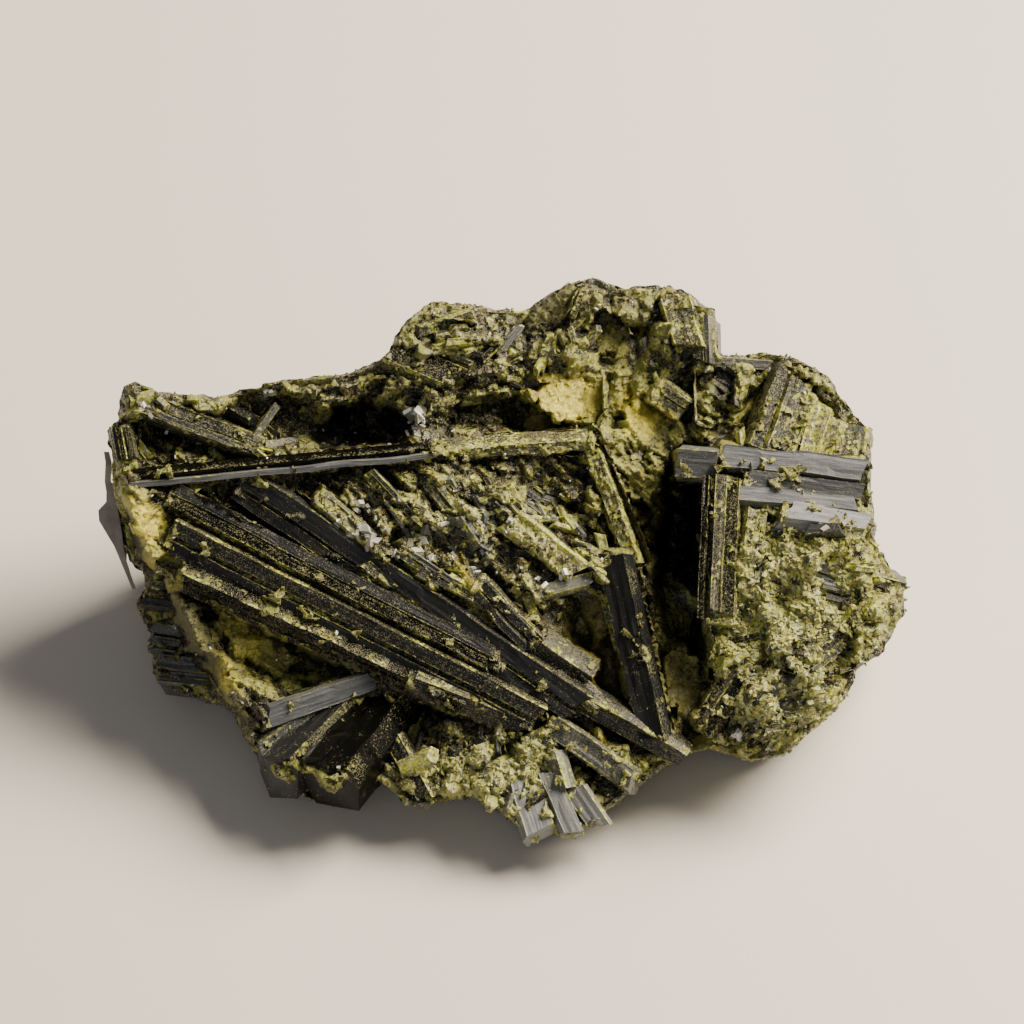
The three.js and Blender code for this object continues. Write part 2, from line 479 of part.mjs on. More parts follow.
// The whole intergrown mass in one solid
function epidoteCluster() {
  const mass = wallBlock().intersect(showFaceBlock()).intersect(baseBlock()).intersect(backBlock());
  const large = PRISMS.map(({ from, to, size, roll, grooves, slopes }) =>
    prism(onFace(from), onFace(to), size, roll, grooves, slopes));
  const small = DRUSES.flatMap(druse);
  const grown = [...large, ...small, ...backCrystals()].reduce((all, one) => all.add(one), mass);
  return largestBody(grown.intersect(baseBlock()));
}

// The main body alone: a flake that the cuts left loose is dropped, and a void that nothing reaches is filled
function largestBody(solid) {
  return solid.decompose().reduce((most, body) => (body.volume() > most.volume() ? body : most));
}

// The scrap of label: a thin sheet that lies along the wall behind the rim, and curls out to the left at
// its front edge
function labelSlip() {
  const half = SLIP_THICKNESS / 2;
  const points = [];
  for (const { outer, inner, up, back } of SLIP_STATIONS) {
    const curl = SLIP_CURL * (inner - outer) / 2;
    points.push(
      place(outer, up, SLIP_DEPTH + curl + half),
      place(inner + half, up, SLIP_DEPTH + half),
      place(inner + half + 0.1 * back, up, SLIP_DEPTH - back),
      place(inner - half + 0.1 * back, up, SLIP_DEPTH - back),
      place(inner - half, up, SLIP_DEPTH - half),
      place(outer, up, SLIP_DEPTH + curl - half),
    );
  }
  const sides = 6;
  const last = points.length - sides;
  const cap = [[0, 1, 4], [0, 4, 5], [1, 2, 3], [1, 3, 4]];
  const faces = [...cap, ...cap.map(([a, b, c]) => [last + a, last + c, last + b])];
  for (let ring = 0; ring < last; ring += sides) {
    for (let n = 0; n < sides; n++) {
      const next = (n + 1) % sides;
      faces.push([ring + n, ring + sides + next, ring + next], [ring + n, ring + sides + n, ring + sides + next]);
    }
  }
  return largestBody(solidOf(geometryOf(points, faces)).subtract(wallBlock(SLIP_GAP)));
}

// A solid as a named mesh
function meshOf(name, solid, material) {
  const { numProp, numVert, vertProperties, triVerts } = solid.getMesh();
  const position = new Float32Array(numVert * 3);
  for (let n = 0; n < numVert; n++) {
    position.set(vertProperties.subarray(n * numProp, n * numProp + 3), n * 3);
  }
  const geometry = new THREE.BufferGeometry();
  geometry.setAttribute("position", new THREE.BufferAttribute(position, 3));
  geometry.setIndex(new THREE.BufferAttribute(new Uint32Array(triVerts), 1));
  const mesh = new THREE.Mesh(geometry, material);
  mesh.name = name;
  return mesh;
}

const epidote = new THREE.MeshStandardMaterial({ color: 0x55531f, roughness: 0.55, metalness: 0 });
const paper = new THREE.MeshStandardMaterial({ color: 0xa9a39c, roughness: 0.8, metalness: 0 });

const specimen = new THREE.Group();
specimen.add(meshOf("epidote_cluster", epidoteCluster(), epidote));
specimen.add(meshOf("label_slip", labelSlip(), paper));

export default specimen;
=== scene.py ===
"""An epidote specimen on a pale table: dark striated crystals grown through a mass of yellow-green grains.

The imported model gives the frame. The mass, its crystals and its grains are worked out here in millimetres
from the same named places as the solids, and put into meshes in metres.
"""

import math

import bpy
import numpy as np
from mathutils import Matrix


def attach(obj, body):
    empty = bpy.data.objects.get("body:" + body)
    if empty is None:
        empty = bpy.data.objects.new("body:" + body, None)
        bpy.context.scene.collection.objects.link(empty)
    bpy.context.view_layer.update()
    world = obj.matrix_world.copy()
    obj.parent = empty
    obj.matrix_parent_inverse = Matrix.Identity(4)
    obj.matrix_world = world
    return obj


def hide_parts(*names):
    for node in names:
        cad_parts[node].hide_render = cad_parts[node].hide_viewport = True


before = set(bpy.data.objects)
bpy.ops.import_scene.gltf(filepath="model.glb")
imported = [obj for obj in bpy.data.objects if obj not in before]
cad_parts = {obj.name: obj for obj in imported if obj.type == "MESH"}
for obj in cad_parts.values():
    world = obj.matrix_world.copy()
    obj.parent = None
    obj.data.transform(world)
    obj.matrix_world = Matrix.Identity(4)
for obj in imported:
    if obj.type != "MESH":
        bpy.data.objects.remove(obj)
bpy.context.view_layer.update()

MM = 0.001

# The show face is laid out as it is seen from this far above the table: across to the right, up the face,
# and toward the eye
SHOW_ELEVATION = math.radians(42)
ACROSS = np.array([1.0, 0.0, 0.0])
UP = np.array([0.0, math.sin(SHOW_ELEVATION), math.cos(SHOW_ELEVATION)])
TOWARD = np.array([0.0, -math.cos(SHOW_ELEVATION), math.sin(SHOW_ELEVATION)])
MIDDLE = np.array([0.2, 0.4, 18.2])

# The face's mean plane leans back: it lies FACE_LIFT toward the eye at the middle, less higher up
FACE_LIFT = 4.5
FACE_SLOPE = -0.305

# The camera: far off with a long lens, so that sizes hardly change with depth
VIEW_DISTANCE = 1500.0
VIEW_CENTRE = (0.69, 5.42)
VIEW_WIDTH = 118.1

# The edge of the specimen as it is seen from the show side, clockwise from the knob at the upper left
OUTLINE = np.array([
    (-44.3, 19.9), (-42.9, 20.4), (-40.2, 19.2), (-33.6, 18.7), (-27.8, 19.9), (-23.8, 20.9),
    (-18.6, 21.2), (-13.6, 23.2), (-12.8, 25.8), (-11.1, 27.8), (-8.5, 29.9), (-6.5, 29.6),
    (1.6, 28.4), (4.5, 30.1), (7.4, 31.8), (10.3, 32.4), (13.7, 31.4), (19.1, 31.4),
    (21.5, 30.8), (22.6, 29.3), (24.2, 28.9), (24.5, 23.2), (29.9, 23.8), (33.3, 23.3),
    (36.4, 21.8), (39.1, 18.3), (42.0, 14.3), (41.9, 8.0), (42.3, 2.2), (45.4, -3.0),
    (45.7, -5.8), (43.1, -10.5), (39.9, -12.6), (39.5, -15.0), (36.8, -18.0), (31.6, -22.3),
    (27.5, -23.0), (23.5, -21.5), (20.6, -22.0), (15.5, -25.5), (10.8, -29.2), (6.8, -31.0),
    (2.8, -31.6), (-0.7, -28.7), (-4.2, -27.2), (-10.5, -28.2), (-15.1, -24.6), (-21.7, -27.6),
    (-26.3, -25.5), (-29.6, -21.0), (-31.4, -17.4), (-38.9, -14.9), (-40.7, -13.2), (-41.0, -9.3),
    (-42.4, -5.8), (-41.8, -1.8), (-43.6, -0.5), (-44.2, 2.0), (-45.0, 5.6), (-45.3, 9.0),
    (-45.9, 14.3), (-44.7, 16.4),
])

# Mounds, hollows and steps of the show face: where, half sizes, turn in degrees, lift, and how much of
# the half size is level before it falls away
LANDFORMS = [
    ("hollow under the upper left rim", (-30, 15.2), (12.5, 3.3), 4, -3.6, 0.5),
    ("dark recess over the long blade", (-17.0, 15.0), (6.2, 2.8), 6, -5.2, 0.5),
    ("gap between the long prisms", (-23.5, 2.6), (9.5, 2.3), -34, -6.5, 0.4),
    ("cavity under the prisms", (-26.4, -9.6), (10.5, 5.2), -32, -5.4, 0.45),
    ("granular middle", (-3.2, 1.2), (15, 9), -32, 2.2, 0.2),
    ("trough behind the ledge", (1.5, 16.4), (8.5, 2.4), -3, -4.4, 0.5),
    ("yellow bowl", (6.6, 18.6), (6, 3.9), 0, -1.8, 0.5),
    ("second bowl", (17.4, 17.4), (5.5, 4.6), 0, -2.6, 0.4),
    ("smooth hollow under the peak", (13.2, 24.4), (3.6, 3.2), 40, -2.6, 0.4),
    ("upper left ridge", (-9, 23.5), (9, 6), 35, 1.4, 0.3),
    ("slope into the cleft", (18.2, 2.5), (6.5, 13), 0, -5, 0.15),
    ("deep cleft", (20.6, -0.6), (3.2, 11.5), 3, -9, 0.6),
    ("tan hollow left of the standing prism", (10.8, -12), (3.4, 8.6), 18, -4.4, 0.45),
    ("tan hollow right of it", (20.4, -14.4), (3.8, 6.8), 8, -4, 0.4),
    ("right block", (33.8, -5.6), (11, 17), 6, 4.2, 0.72),
    ("recess over the right block", (33, 15.6), (8.5, 4.4), -8, -3, 0.5),
    ("bottom mound", (-1.5, -23.4), (11, 6.5), -10, 1.8, 0.3),
    ("dark nook beside the thick prisms", (-10.8, -18.6), (3.2, 5.5), -30, -3, 0.4),
]

# The left rim runs down from the knob: past this line the face drops to the older crystals under it
RIM_LINE = np.array([(-43.8, 8.0), (-31.0, -17.0)])
RIM_DROP = 10.0
RIM_DROP_WIDTH = 2.6

# The long and thick crystals, each with its name, its start and its end as (across, up, lift over the mean
# plane), breadth and thickness, roll about its axis in degrees, slopes of its end faces, how many laths lie
# side by side in it, how much painted silver sheen grays its faces, and how much yellow-green coats it
PRISMS = [
    ("long blade", (-43.4, 8.6, 1.2), (-8, 12, 1.9), (0.7, 1.4), 20, (0.2, 0.3), 1, 0.55, 0),
    ("blade's dark edge", (-43.3, 9.6, 1.2), (-9, 12.9, 1.7), (1, 1.6), 30, (0.2, 0.3), 1, 0, 0.05),
    ("coated blade", (-9.5, 12.3, 1), (9.9, 13.7, 0.6), (1.6, 3), 24, (0.1, -0.5), 2, 0.2, 0.42),
    ("upper long prism", (-30.6, 9.2, -2), (8.3, -16.6, 0.6), (4.2, 5), 4, (0.3, 0.6), 2, 0.04, 0.08),
    ("middle long prism", (-38.9, 6.9, -1), (-0.4, -12.8, 1), (3.3, 4.6), -22, (0.2, -0.4), 2, 0.04, 0.12),
    ("broad long prism", (-38.6, 3.3, -0.8), (3.6, -18, 1.6), (3.8, 5), 12, (0.2, 0.7), 2, 0.06, 0.1),
    ("lower long prism", (-37.4, -0.8, -1.2), (-5, -15.8, 0.8), (3.1, 5.2), 34, (0.3, 0.4), 1, 0.06, 0.12),
    ("short lower prism", (-11, -13.4, 1.4), (2.2, -18.8, 1.2), (2.8, 3.4), 30, (0.4, -0.6), 1, 0.15, 0.25),
    ("upper standing prism", (10.2, 13, -1.1), (15.2, -0.6, -1.4), (2, 4.2), 18, (0.4, 0.2), 1, 0.1, 0.4),
    ("standing prism", (12.7, 0.6, 0.2), (17.4, -20.6, 0.2), (3.8, 5), 16, (0.4, 0.3), 1, 0.14, 0),
    ("side prism", (11.2, -2.6, -0.8), (13.4, -10.5, -1.4), (1.9, 2.6), 10, (0.3, 0.5), 1, 0.05, 0.45),
    ("right foot prism", (8.4, -15.4, 0.4), (20.6, -22.3, 0.6), (2.6, 3.6), 26, (0.2, 0.2), 1, 0.08, 0.15),
    ("middle foot prism", (5, -18.8, 0.5), (14.8, -25.4, 0.6), (2.9, 3.6), 8, (0.3, -0.3), 1, 0.2, 0.15),
    ("silver bar", (-27.9, -18.2, 0.2), (-15.2, -13.6, -0.8), (2.7, 3.2), 10, (0.5, 0.2), 1, 0.5, 0.04),
    ("thick prism", (-11.6, -14.6, -6), (-20, -25.8, 1.8), (8.2, 7.2), 38, (0.3, 0), 1, 0, 0),
    ("thick side prism", (-17, -15.8, -4.2), (-25.8, -25, 0.2), (4.6, 6), 40, (0.3, -0.3), 1, 0.02, 0.08),
    ("small thick prism", (-21.6, -17.4, -2.4), (-28.2, -22.6, -1), (3.4, 4.4), -8, (0.2, 0.4), 1, 0.25, 0.2),
    ("toe prism", (-13.6, -20.5, -1.8), (-9.4, -28, -0.6), (4.2, 3.4), 16, (0.2, 0.5), 2, 0.12, 0.1),
    ("bottom left plate", (1.6, -24.6, 0.6), (3.8, -31.5, 1.4), (4.2, 2.8), -14, (0.3, -0.2), 1, 0.9, 0.12),
    ("bottom middle plate", (4.6, -24.8, 0.4), (7.6, -31.4, 1.2), (2.6, 3.4), -6, (0.3, 0.3), 1, 0.85, 0.1),
    ("bottom right plate", (7.8, -26.2, 0.2), (10.6, -30.2, 0.4), (2.8, 2.6), 0, (0.3, 0.6), 1, 0.75, 0.2),
    ("front small prism", (5.6, -22, 1.6), (6.9, -26.2, 1.9), (2.2, 2.2), 40, (0.3, 0.2), 1, 0.45, 0.25),
    ("gray tablet", (3.6, -9.2, 1.4), (9.6, -13.2, 1.2), (3.2, 3), 36, (0.5, 0.3), 1, 0.15, 0.3),
    ("second gray tablet", (6.2, -13, 0.8), (10.8, -17.4, 0.9), (2.8, 2.8), -34, (0.3, 0.4), 1, 0.12, 0.3),
    ("silver tablet", (3.4, -4.2, 1.5), (9.4, -2.6, 0.8), (1.8, 2.2), -20, (0.6, 0.5), 1, 0.4, 0.25),
    ("olive plate", (0.6, 4.4, 2), (8, -1.4, 1.5), (3.2, 2.2), 0, (0.5, 0.5), 1, 0.1, 0.95),
    ("sparkling face", (-22, 7.2, 0.4), (-13.6, 0, 1.2), (2.4, 2.6), -24, (0.4, 0.4), 3, 0.5, 0.4),
    ("dark middle crystal", (-3.4, -2.6, 1.6), (3.6, -10, 1.5), (3, 3.6), 14, (0.3, 0.5), 2, 0.06, 0.2),
    ("upper middle shard", (-15.8, 10.2, 0.6), (-11.4, 5.4, 1.2), (1.6, 2.4), 12, (0.4, 0.5), 2, 0.1, 0.3),
    ("second middle shard", (-9.6, 9.4, 0.8), (-4.6, 3.4, 1.9), (1.8, 2.4), -10, (0.4, 0.5), 2, 0.2, 0.35),
    ("third middle shard", (-4, 9, 0.8), (0.4, 5, 1.6), (1.4, 2.2), 20, (0.4, 0.5), 1, 0.15, 0.4),
    ("lower middle shard", (-12.2, 1.2, 1.6), (-5.6, -3.2, 2), (1.5, 2.4), 8, (0.4, 0.5), 2, 0.3, 0.3),
    ("block corner", (20.2, 11, 1.2), (24.6, 10.8, 2.4), (3.8, 5.2), 4, (0.1, 0.1), 1, 0.45, 0.05),
    ("top shelf prism", (24.6, 11.2, 2), (40.6, 9.6, 1), (3.2, 5.2), -14, (0.1, 0.3), 1, 0.6, 0),
    ("second shelf prism", (27.2, 8.9, 2.8), (40.6, 7.4, 1.7), (2.4, 4.6), -8, (0.3, 0.2), 1, 0.35, 0.1),
    ("third shelf prism", (26, 6.8, 3.4), (40.4, 5.6, 2.3), (2.2, 4.4), -20, (0.1, -0.3), 1, 0.6, 0),
    ("lower shelf prism", (31.6, 4.6, 3.9), (41, 3.2, 2.8), (3, 4.4), -34, (0.5, 0.3), 1, 1, 0),
    ("cleft wall prism", (25.6, 9.2, 1.8), (24.8, -7.6, 2.6), (4.2, 8.2), 8, (0.1, 0.3), 3, 0.1, 0.2),
    ("second wall prism", (28, 5.6, 2.4), (27.2, -3.2, 3), (2.6, 6), -14, (0.4, 0.4), 2, 0.3, 0.4),
    ("lower wall prism", (28.6, -10.8, 1.6), (22.8, -19.6, 0.4), (3.4, 4.6), 20, (0.2, 0.4), 3, 0.05, 0.18),
    ("right tip prism", (34.8, -0.4, 2.4), (45.4, -3.2, -0.2), (2.4, 4.4), 14, (0.2, 0.4), 3, 0.45, 0.15),
    ("lower tip prism", (35.4, -3.4, 1.9), (45.2, -5.8, -0.8), (2.6, 4), -18, (0.2, 0.3), 3, 0.35, 0.2),
    ("dark lump prism", (33, -12.4, 4.2), (38.6, -7.4, 2.6), (3.2, 4.4), 30, (0.4, 0.4), 2, 0.15, 0.25),
    ("square end", (41, 15, -2.6), (40.4, 9.8, -2.8), (2.6, 3.8), 20, (0.1, 0.1), 1, 0.4, 0.3),
    ("notch blade", (22.6, 22.9, -1.6), (30.4, 22.4, -2.2), (1.3, 2.6), 0, (0.1, 0.3), 1, 0.4, 0.2),
    ("peak block", (19.8, 29.6, -0.8), (21.4, 24.4, 0.2), (3.8, 4.6), 10, (0.2, 0.4), 1, 0.12, 0.3),
    ("peak wall", (23, 28.4, -1), (23.2, 21.8, -0.8), (2.2, 5.6), 12, (0.2, 0.4), 2, 0.15, 0.2),
    ("dark bowl block", (17.2, 19.6, -1.4), (20.8, 17.2, -1.2), (3.4, 4), 10, (0.2, 0.3), 2, 0.1, 0.3),
    ("left ridge prism", (-11.2, 25.2, -0.4), (-3.6, 27.6, -0.8), (3.4, 4), 14, (0.5, 0.2), 2, 0.15, 0.35),
    ("left slope prism", (-13.6, 23.2, -0.6), (-6.4, 20.2, 0.2), (3.8, 4.6), -24, (0.3, 0.5), 1, 0.05, 0.15),
    ("upper rim prism", (-42.6, 17.8, 0), (-28.4, 12.4, -1.2), (2.8, 3.4), -20, (0.3, 0.5), 2, 0.1, 0.25),
    ("crossing needle", (-29.8, 13, -1.2), (-26.6, 17.6, -1), (0.9, 1.4), 0, (0.3, 0.4), 1, 0.4, 0.2),
    ("left knob", (-43.9, 17.4, -0.8), (-41, 18.2, -0.4), (3, 4), 12, (0.4, 0.3), 1, 0.2, 0.5),
    ("left wall prism", (-44.2, 15.4, -1), (-43.2, 10.2, -0.6), (2.6, 4.8), 10, (0.4, 0.3), 3, 0.08, 0.3),
    ("older upper", (-33.4, -5.4, -8.8), (-41.6, -4.2, -9.2), (3.4, 5), 12, (0.2, 0.3), 3, 0.2, 0.15),
    ("older middle", (-30.6, -10.2, -10.4), (-40.4, -8.6, -10.8), (3.6, 5), -16, (0.2, 0.4), 3, 0.25, 0.12),
    ("older lower", (-29, -14.6, -11.4), (-40.1, -13.2, -12), (3.4, 4.8), 20, (0.2, 0.2), 3, 0.35, 0.08),
]

# The curved ribs of the right lobe lie side by side between a first and a last one
LOBE_RIBS = 6
FIRST_RIB = ((31.6, 22.0, -0.6), (28.0, 12.6, -0.2))
LAST_RIB = ((40.2, 14.2, -2.4), (39.0, 9.4, -1.6))


def lobe_ribs():
    """The ribs as rows like those of PRISMS, spread evenly and varied a little by chance."""
    rows = []
    for k in range(LOBE_RIBS):
        part = k / (LOBE_RIBS - 1)
        start, end = ([a + (b - a) * part for a, b in zip(first, last)]
                      for first, last in zip(FIRST_RIB, LAST_RIB))
        start[2] += 1.8 * float(chance(k, 1, 31)) - 1.0
        size = (1.9 + 1.3 * float(chance(k, 2, 31)), 4.4)
        roll = -24 + 50 * float(chance(k, 3, 31))
        coat = 0.25 + 0.4 * float(chance(k, 4, 31))
        rows.append((f"lobe rib {k}", start, end, size, roll, (0.3, 0.2), 1, 0.12, coat))
    return rows


# Where the smaller crystals are thick on the ground: centre, half sizes, how many, their usual direction on
# the face in degrees, how much yellow-green coats them, and how much painted silver sheen the grayest have
DRUSES = [
    ((-3, 1), (15, 8), 180, -36, 0.5, 0.7),
    ((33, -6), (10, 11), 70, 20, 0.7, 0.2),
    ((-1, -23.4), (10, 4.6), 50, 60, 0.5, 0.4),
    ((-6, 23), (13, 5), 50, 15, 0.5, 0.3),
    ((13, 25), (11, 6), 26, 70, 0.7, 0.3),
    ((-34, 15), (10, 4), 40, -30, 0.5, 0.3),
    ((33, 15.6), (8, 6), 20, 65, 0.7, 0.3),
    ((33, -16), (8, 6), 50, 30, 0.4, 0.3),
]
# The least and the greatest length and breadth of these crystals
DRUSE_LENGTH = (1.2, 4.4)
DRUSE_BREADTH = (0.5, 1.9)

# What lies on the mass, as patches of the show face: centre, half sizes, turn in degrees, and strength.
# First, yellow-green coat
COATINGS = [
    ("right block", (33, -5), (11.5, 12), 0, 0.72),
    ("lower right", (31, -16), (9, 7), 0, 0.72),
    ("middle", (-1, 4), (13, 8), -32, 0.1),
    ("bottom mound", (0, -25), (13, 6), 0, 0.52),
    ("amphitheatre", (13, 17.5), (11, 6.5), 0, 0.5),
    ("peak", (12, 27), (11, 6), 0, 0.18),
    ("pale lump", (29.4, -14.6), (3.6, 4.2), 0, 0.9),
    ("right lobe", (33, 18), (9, 7), 0, 0.3),
    ("cavity", (-27, -9), (12, 7), -32, 0.6),
    ("left rim", (-37.5, -4), (14, 3.2), -63, 0.5),
    ("upper left rim", (-34, 17.5), (12, 3), 0, 0.25),
    ("foot", (17, -23.5), (8, 3), 30, 0.35),
    ("slope of the cleft", (14, 8), (5, 7), 0, 0.45),
    ("upper left ridge", (-8, 22), (9, 5), 20, 0.1),
]
# Paler and grayer coat
PALES = [
    ("pale lump", (29.4, -14.6), (3.6, 4.2), 0, 1.0),
    ("right block", (33, -5), (10, 9), 0, 0.8),
    ("lower right", (31, -16), (9, 6), 0, 1.0),
    ("bottom mound", (0, -25), (13, 6), 0, 0.8),
    ("middle", (-2, 0), (13, 8), -32, 0.7),
    ("coated blade", (1, 13), (10, 1.5), 4, 0.5),
    ("knob", (-43, 16), (3, 5), 0, 0.5),
    ("upper left ridge", (-8, 22), (9, 5), 20, 0.7),
]
# Bright yellow powder
POWDERS = [
    ("yellow bowl", (7.2, 18.4), (5.2, 3.0), 0, 1.0),
    ("second bowl", (15.6, 16.8), (2.9, 3.0), 10, 0.95),
    ("rim patch", (-41.2, 4.0), (4.3, 1.9), -65, 1.0),
    ("rim streak", (-39.2, -2.2), (3.6, 1.2), -60, 0.55),
    ("lower rim streak", (-32.6, -12.6), (3.6, 1.1), -60, 0.85),
    ("foot prism patch", (9.2, -20.4), (3.2, 0.9), -33, 0.6),
    ("vein of the middle", (-3.8, -3.6), (5.0, 0.9), -62, 0.55),
    ("cavity wall", (-30.5, -8.5), (4.8, 3.6), -40, 0.5),
]
# Darker patches on the knob, the peak and the upper left ridge, and painted shade in the cleft, gaps,
# recesses, hollows and nooks, under the left rim and under the prisms
DARKS_AND_PAINTED_SHADE = [
    ("deep cleft", (20.8, 0.4), (4.2, 10.5), 3, 1.0),
    ("gap between the long prisms", (-23.5, 2.6), (9.5, 3.0), -34, 0.9),
    ("recess over the long blade", (-17.0, 15.0), (6.8, 3.2), 6, 0.9),
    ("under the cavity's prisms", (-18, -12.0), (7, 2.4), -30, 0.6),
    ("nook beside the thick prisms", (-10.8, -18.6), (3.6, 6), -30, 0.8),
    ("foot hollow", (8, -23.4), (3.6, 1.6), -30, 0.6),
    ("gap by the dark crystal", (33.0, -9.8), (2.4, 1.6), 30, 0.6),
    ("left knob", (-42.6, 18.8), (3.0, 2.4), 0, 0.7),
    ("left face of the peak", (6.0, 28.6), (4.8, 3.4), 20, 0.5),
    ("upper left ridge", (-9, 22), (9, 5), 20, 0.34),
    ("top of the peak", (14.5, 29.5), (5.5, 2.2), 0, 0.35),
    ("under the left rim", (-37, -9), (7, 8), 0, 0.7),
    ("notch", (24.8, 20.4), (2.2, 2.6), 0, 0.9),
    ("second bowl's wall", (20.4, 18.4), (2.2, 3.4), 0, 0.7),
]
# Tan stain
TANS = [
    ("peak facet", (5.4, 28.5), (3.2, 2.0), 35, 0.6),
    ("hollow left of the standing prism", (10.8, -12), (3.4, 8.0), 18, 1.0),
    ("hollow right of it", (20.6, -14.0), (3.6, 6.0), 8, 0.9),
    ("slope into the cleft", (15.8, 6.5), (3.0, 6), 0, 0.6),
    ("smooth hollow under the peak", (13.4, 24.6), (3.6, 3.2), 40, 0.7),
    ("floor of the second bowl", (21, 12.6), (6, 3), 0, 0.5),
    ("recess by the lobe", (27.6, 14.6), (4, 3), 30, 0.6),
    ("cavity", (-27, -9), (9, 5), -32, 0.5),
]
# Patches where the broken relief is low
SMOOTHS = [
    ("peak facet", (5.4, 28.5), (3.2, 2.0), 35, 0.8),
    ("yellow bowl", (7.2, 18.6), (5.6, 3.4), 0, 0.9),
    ("second bowl", (16.4, 16.6), (4.4, 3.6), 0, 0.7),
    ("smooth hollow", (13.4, 24.6), (3.8, 3.4), 40, 0.8),
    ("left tan hollow", (10.8, -12), (3.2, 8.0), 18, 0.8),
    ("right tan hollow", (20.6, -14), (3.6, 6.0), 8, 0.6),
    ("deep cleft", (20.8, -0.8), (4.4, 12.5), 3, 0.4),
    ("rim patch", (-41.4, 4.0), (4.4, 1.8), -62, 0.8),
    ("cavity", (-27, -9), (8, 4.6), -32, 0.35),
    ("right block", (33, -4), (10, 11), 0, 0.5),
    ("lower right", (31, -16), (9, 6), 0, 0.35),
    ("amphitheatre", (12, 22), (12, 8), 0, 0.35),
    ("bottom mound", (-1, -24), (12, 6), 0, 0.3),
]

# Patches where the grains are longer than elsewhere
COARSE = [
    ("right block", (33, -5), (10, 12), 0, 1.0),
    ("middle", (-4, 2), (15, 8), -32, 0.25),
    ("bottom mound", (-1, -23), (11, 6), 0, 0.5),
    ("lower right", (31, -16), (8, 6), 0, 1.0),
]
# Where clear crystals glint: centre, half sizes, and how many; and how many smaller ones lie all over
GLINTS = [
    ((-27.9, 19.2), (1.4, 0.7), 10),
    ((-10.2, 15.8), (1.4, 1.9), 26),
    ((-16.5, 5.7), (1.0, 0.8), 8),
    ((-16.8, 3.6), (3.0, 2.4), 26),
    ((-9.0, 1.5), (4.0, 3.0), 20),
    ((27.0, -20.0), (1.0, 0.8), 6),
    ((-1.3, 4.5), (2.4, 2.0), 10),
    ((6.5, -2.4), (3.0, 1.2), 12),
    ((-4.0, -1.0), (5.0, 3.0), 12),
    ((36.0, 4.0), (4.5, 1.0), 8),
    ((-41.5, 17.0), (1.2, 1.0), 6),
]
USUAL_GLINTS = 500

# Which way the broken crystals lie on the face, in degrees: the first is the usual way
GRAIN_WAYS = [
    (-33, []),
    (22, [("upper left", (-14, 22), (16, 8), 0, 1.0), ("upper rim", (-36, 16), (12, 4), 0, 1.0),
          ("lower right", (31, -17), (9, 7), 0, 1.0)]),
    (66, [("peak", (13, 24), (12, 10), 0, 1.0), ("lobe", (33, 18), (9, 7), 0, 1.0),
          ("bottom mound", (0, -24), (13, 7), 0, 1.0)]),
    (-8, [("right block", (33, -3), (11, 12), 0, 1.0), ("left wall", (-40, -6), (6, 12), 0, 1.0)]),
]

# Where the mass stays clear of the crystals: centre, half sizes, turn and depth
CLEARINGS = [
    ("thick prisms", (-19.5, -22.0), (7.5, 5.0), 50, 3.2),
    ("front of the thick prisms", (-21.0, -26.4), (6.5, 3.2), 25, 4.5),
    ("standing prism", (15.2, -10), (2.4, 11), 12, 0.8),
    ("long prisms", (-17, -4), (22, 4.6), -33, 0.6),
]

# Smooth floors: centre, half sizes, turn, lift there, and its slopes across and up
FLOORS = [
    ("yellow bowl", (7.2, 18.4), (4.8, 3.0), -8, -0.7, -0.24, -0.1),
    ("second bowl", (15.8, 16.4), (2.8, 3.2), 10, -1.9, -0.22, -0.15),
    ("cavity", (-28.8, -8.2), (6.4, 3.6), -42, -2.7, -0.42, -0.1),
    ("right tan hollow", (20.6, -14.2), (2.8, 5.2), 8, -1.0, -0.4, -0.1),
    ("peak facet", (5.4, 28.5), (3.2, 2.0), 35, 0.2, 0.1, 0.3),
    ("smooth hollow under the peak", (12.0, 25.6), (2.5, 3.0), 40, -2.0, -0.1, -0.2),
    ("slope into the cleft", (15.4, 9.6), (3.0, 3.0), -40, -1.4, -0.25, 0.0),
    ("rim patch", (-41.2, 4.0), (4.4, 2.0), -65, 1.3, -0.4, 0.0),
]

# The show face's grid, how far its form is softened, how it stands over the mean plane and falls at the edge
FACE_REACH = (48, 34)
FACE_STEP = 0.16
SOFTENED = 0.3
FACE_RAISE = 0.15
EDGE_DROP = 1.6

# How wide round a place the mean is taken that tells proud places, and crevices, and how much coat is usual
PROUD_REACH = 0.9
CREVICE_REACH = 0.35
USUAL_COAT = 0.28

# The skirt: how far it goes back, how much it is drawn inward, where it ends deep inside, and how low it
# may reach
SKIRT_DEPTH = 6.0
SKIRT_DRAW = 0.05
SKIRT_MIDDLE = -22.0
SKIRT_LOWEST = 0.3

# The body: the size of its faces, and how far it sinks behind the show face, at the outline and further in
BODY_VOXEL = 0.62
BODY_SINK = 1.3
BODY_SINK_INSIDE = 2.3

RANDOM = np.random.default_rng(7)


def place(across, up, toward):
    """Points in the row frame, in mm, from arrays of distances across, up and toward the eye."""
    spread = np.stack(np.broadcast_arrays(across, up, toward), axis=-1)
    return MIDDLE + spread @ np.stack([ACROSS, UP, TOWARD])


def on_face(across, up, lift):
    """Points in the row frame from places on the show face and lifts over its mean plane."""
    return place(across, up, FACE_LIFT + FACE_SLOPE * np.asarray(up, float) + lift)


def laid_out(points):
    """The opposite of place: across, up and toward of points in the row frame, as columns."""
    return (points - MIDDLE) @ np.stack([ACROSS, UP, TOWARD]).T


def chance(i, j, k):
    """Numbers from 0 to 1 that depend only on the arguments: the fraction left of a steep sine."""
    wave = np.sin(np.asarray(i) * 127.1 + np.asarray(j) * 311.7 + np.asarray(k) * 74.7) * 43758.5453
    return wave - np.floor(wave)


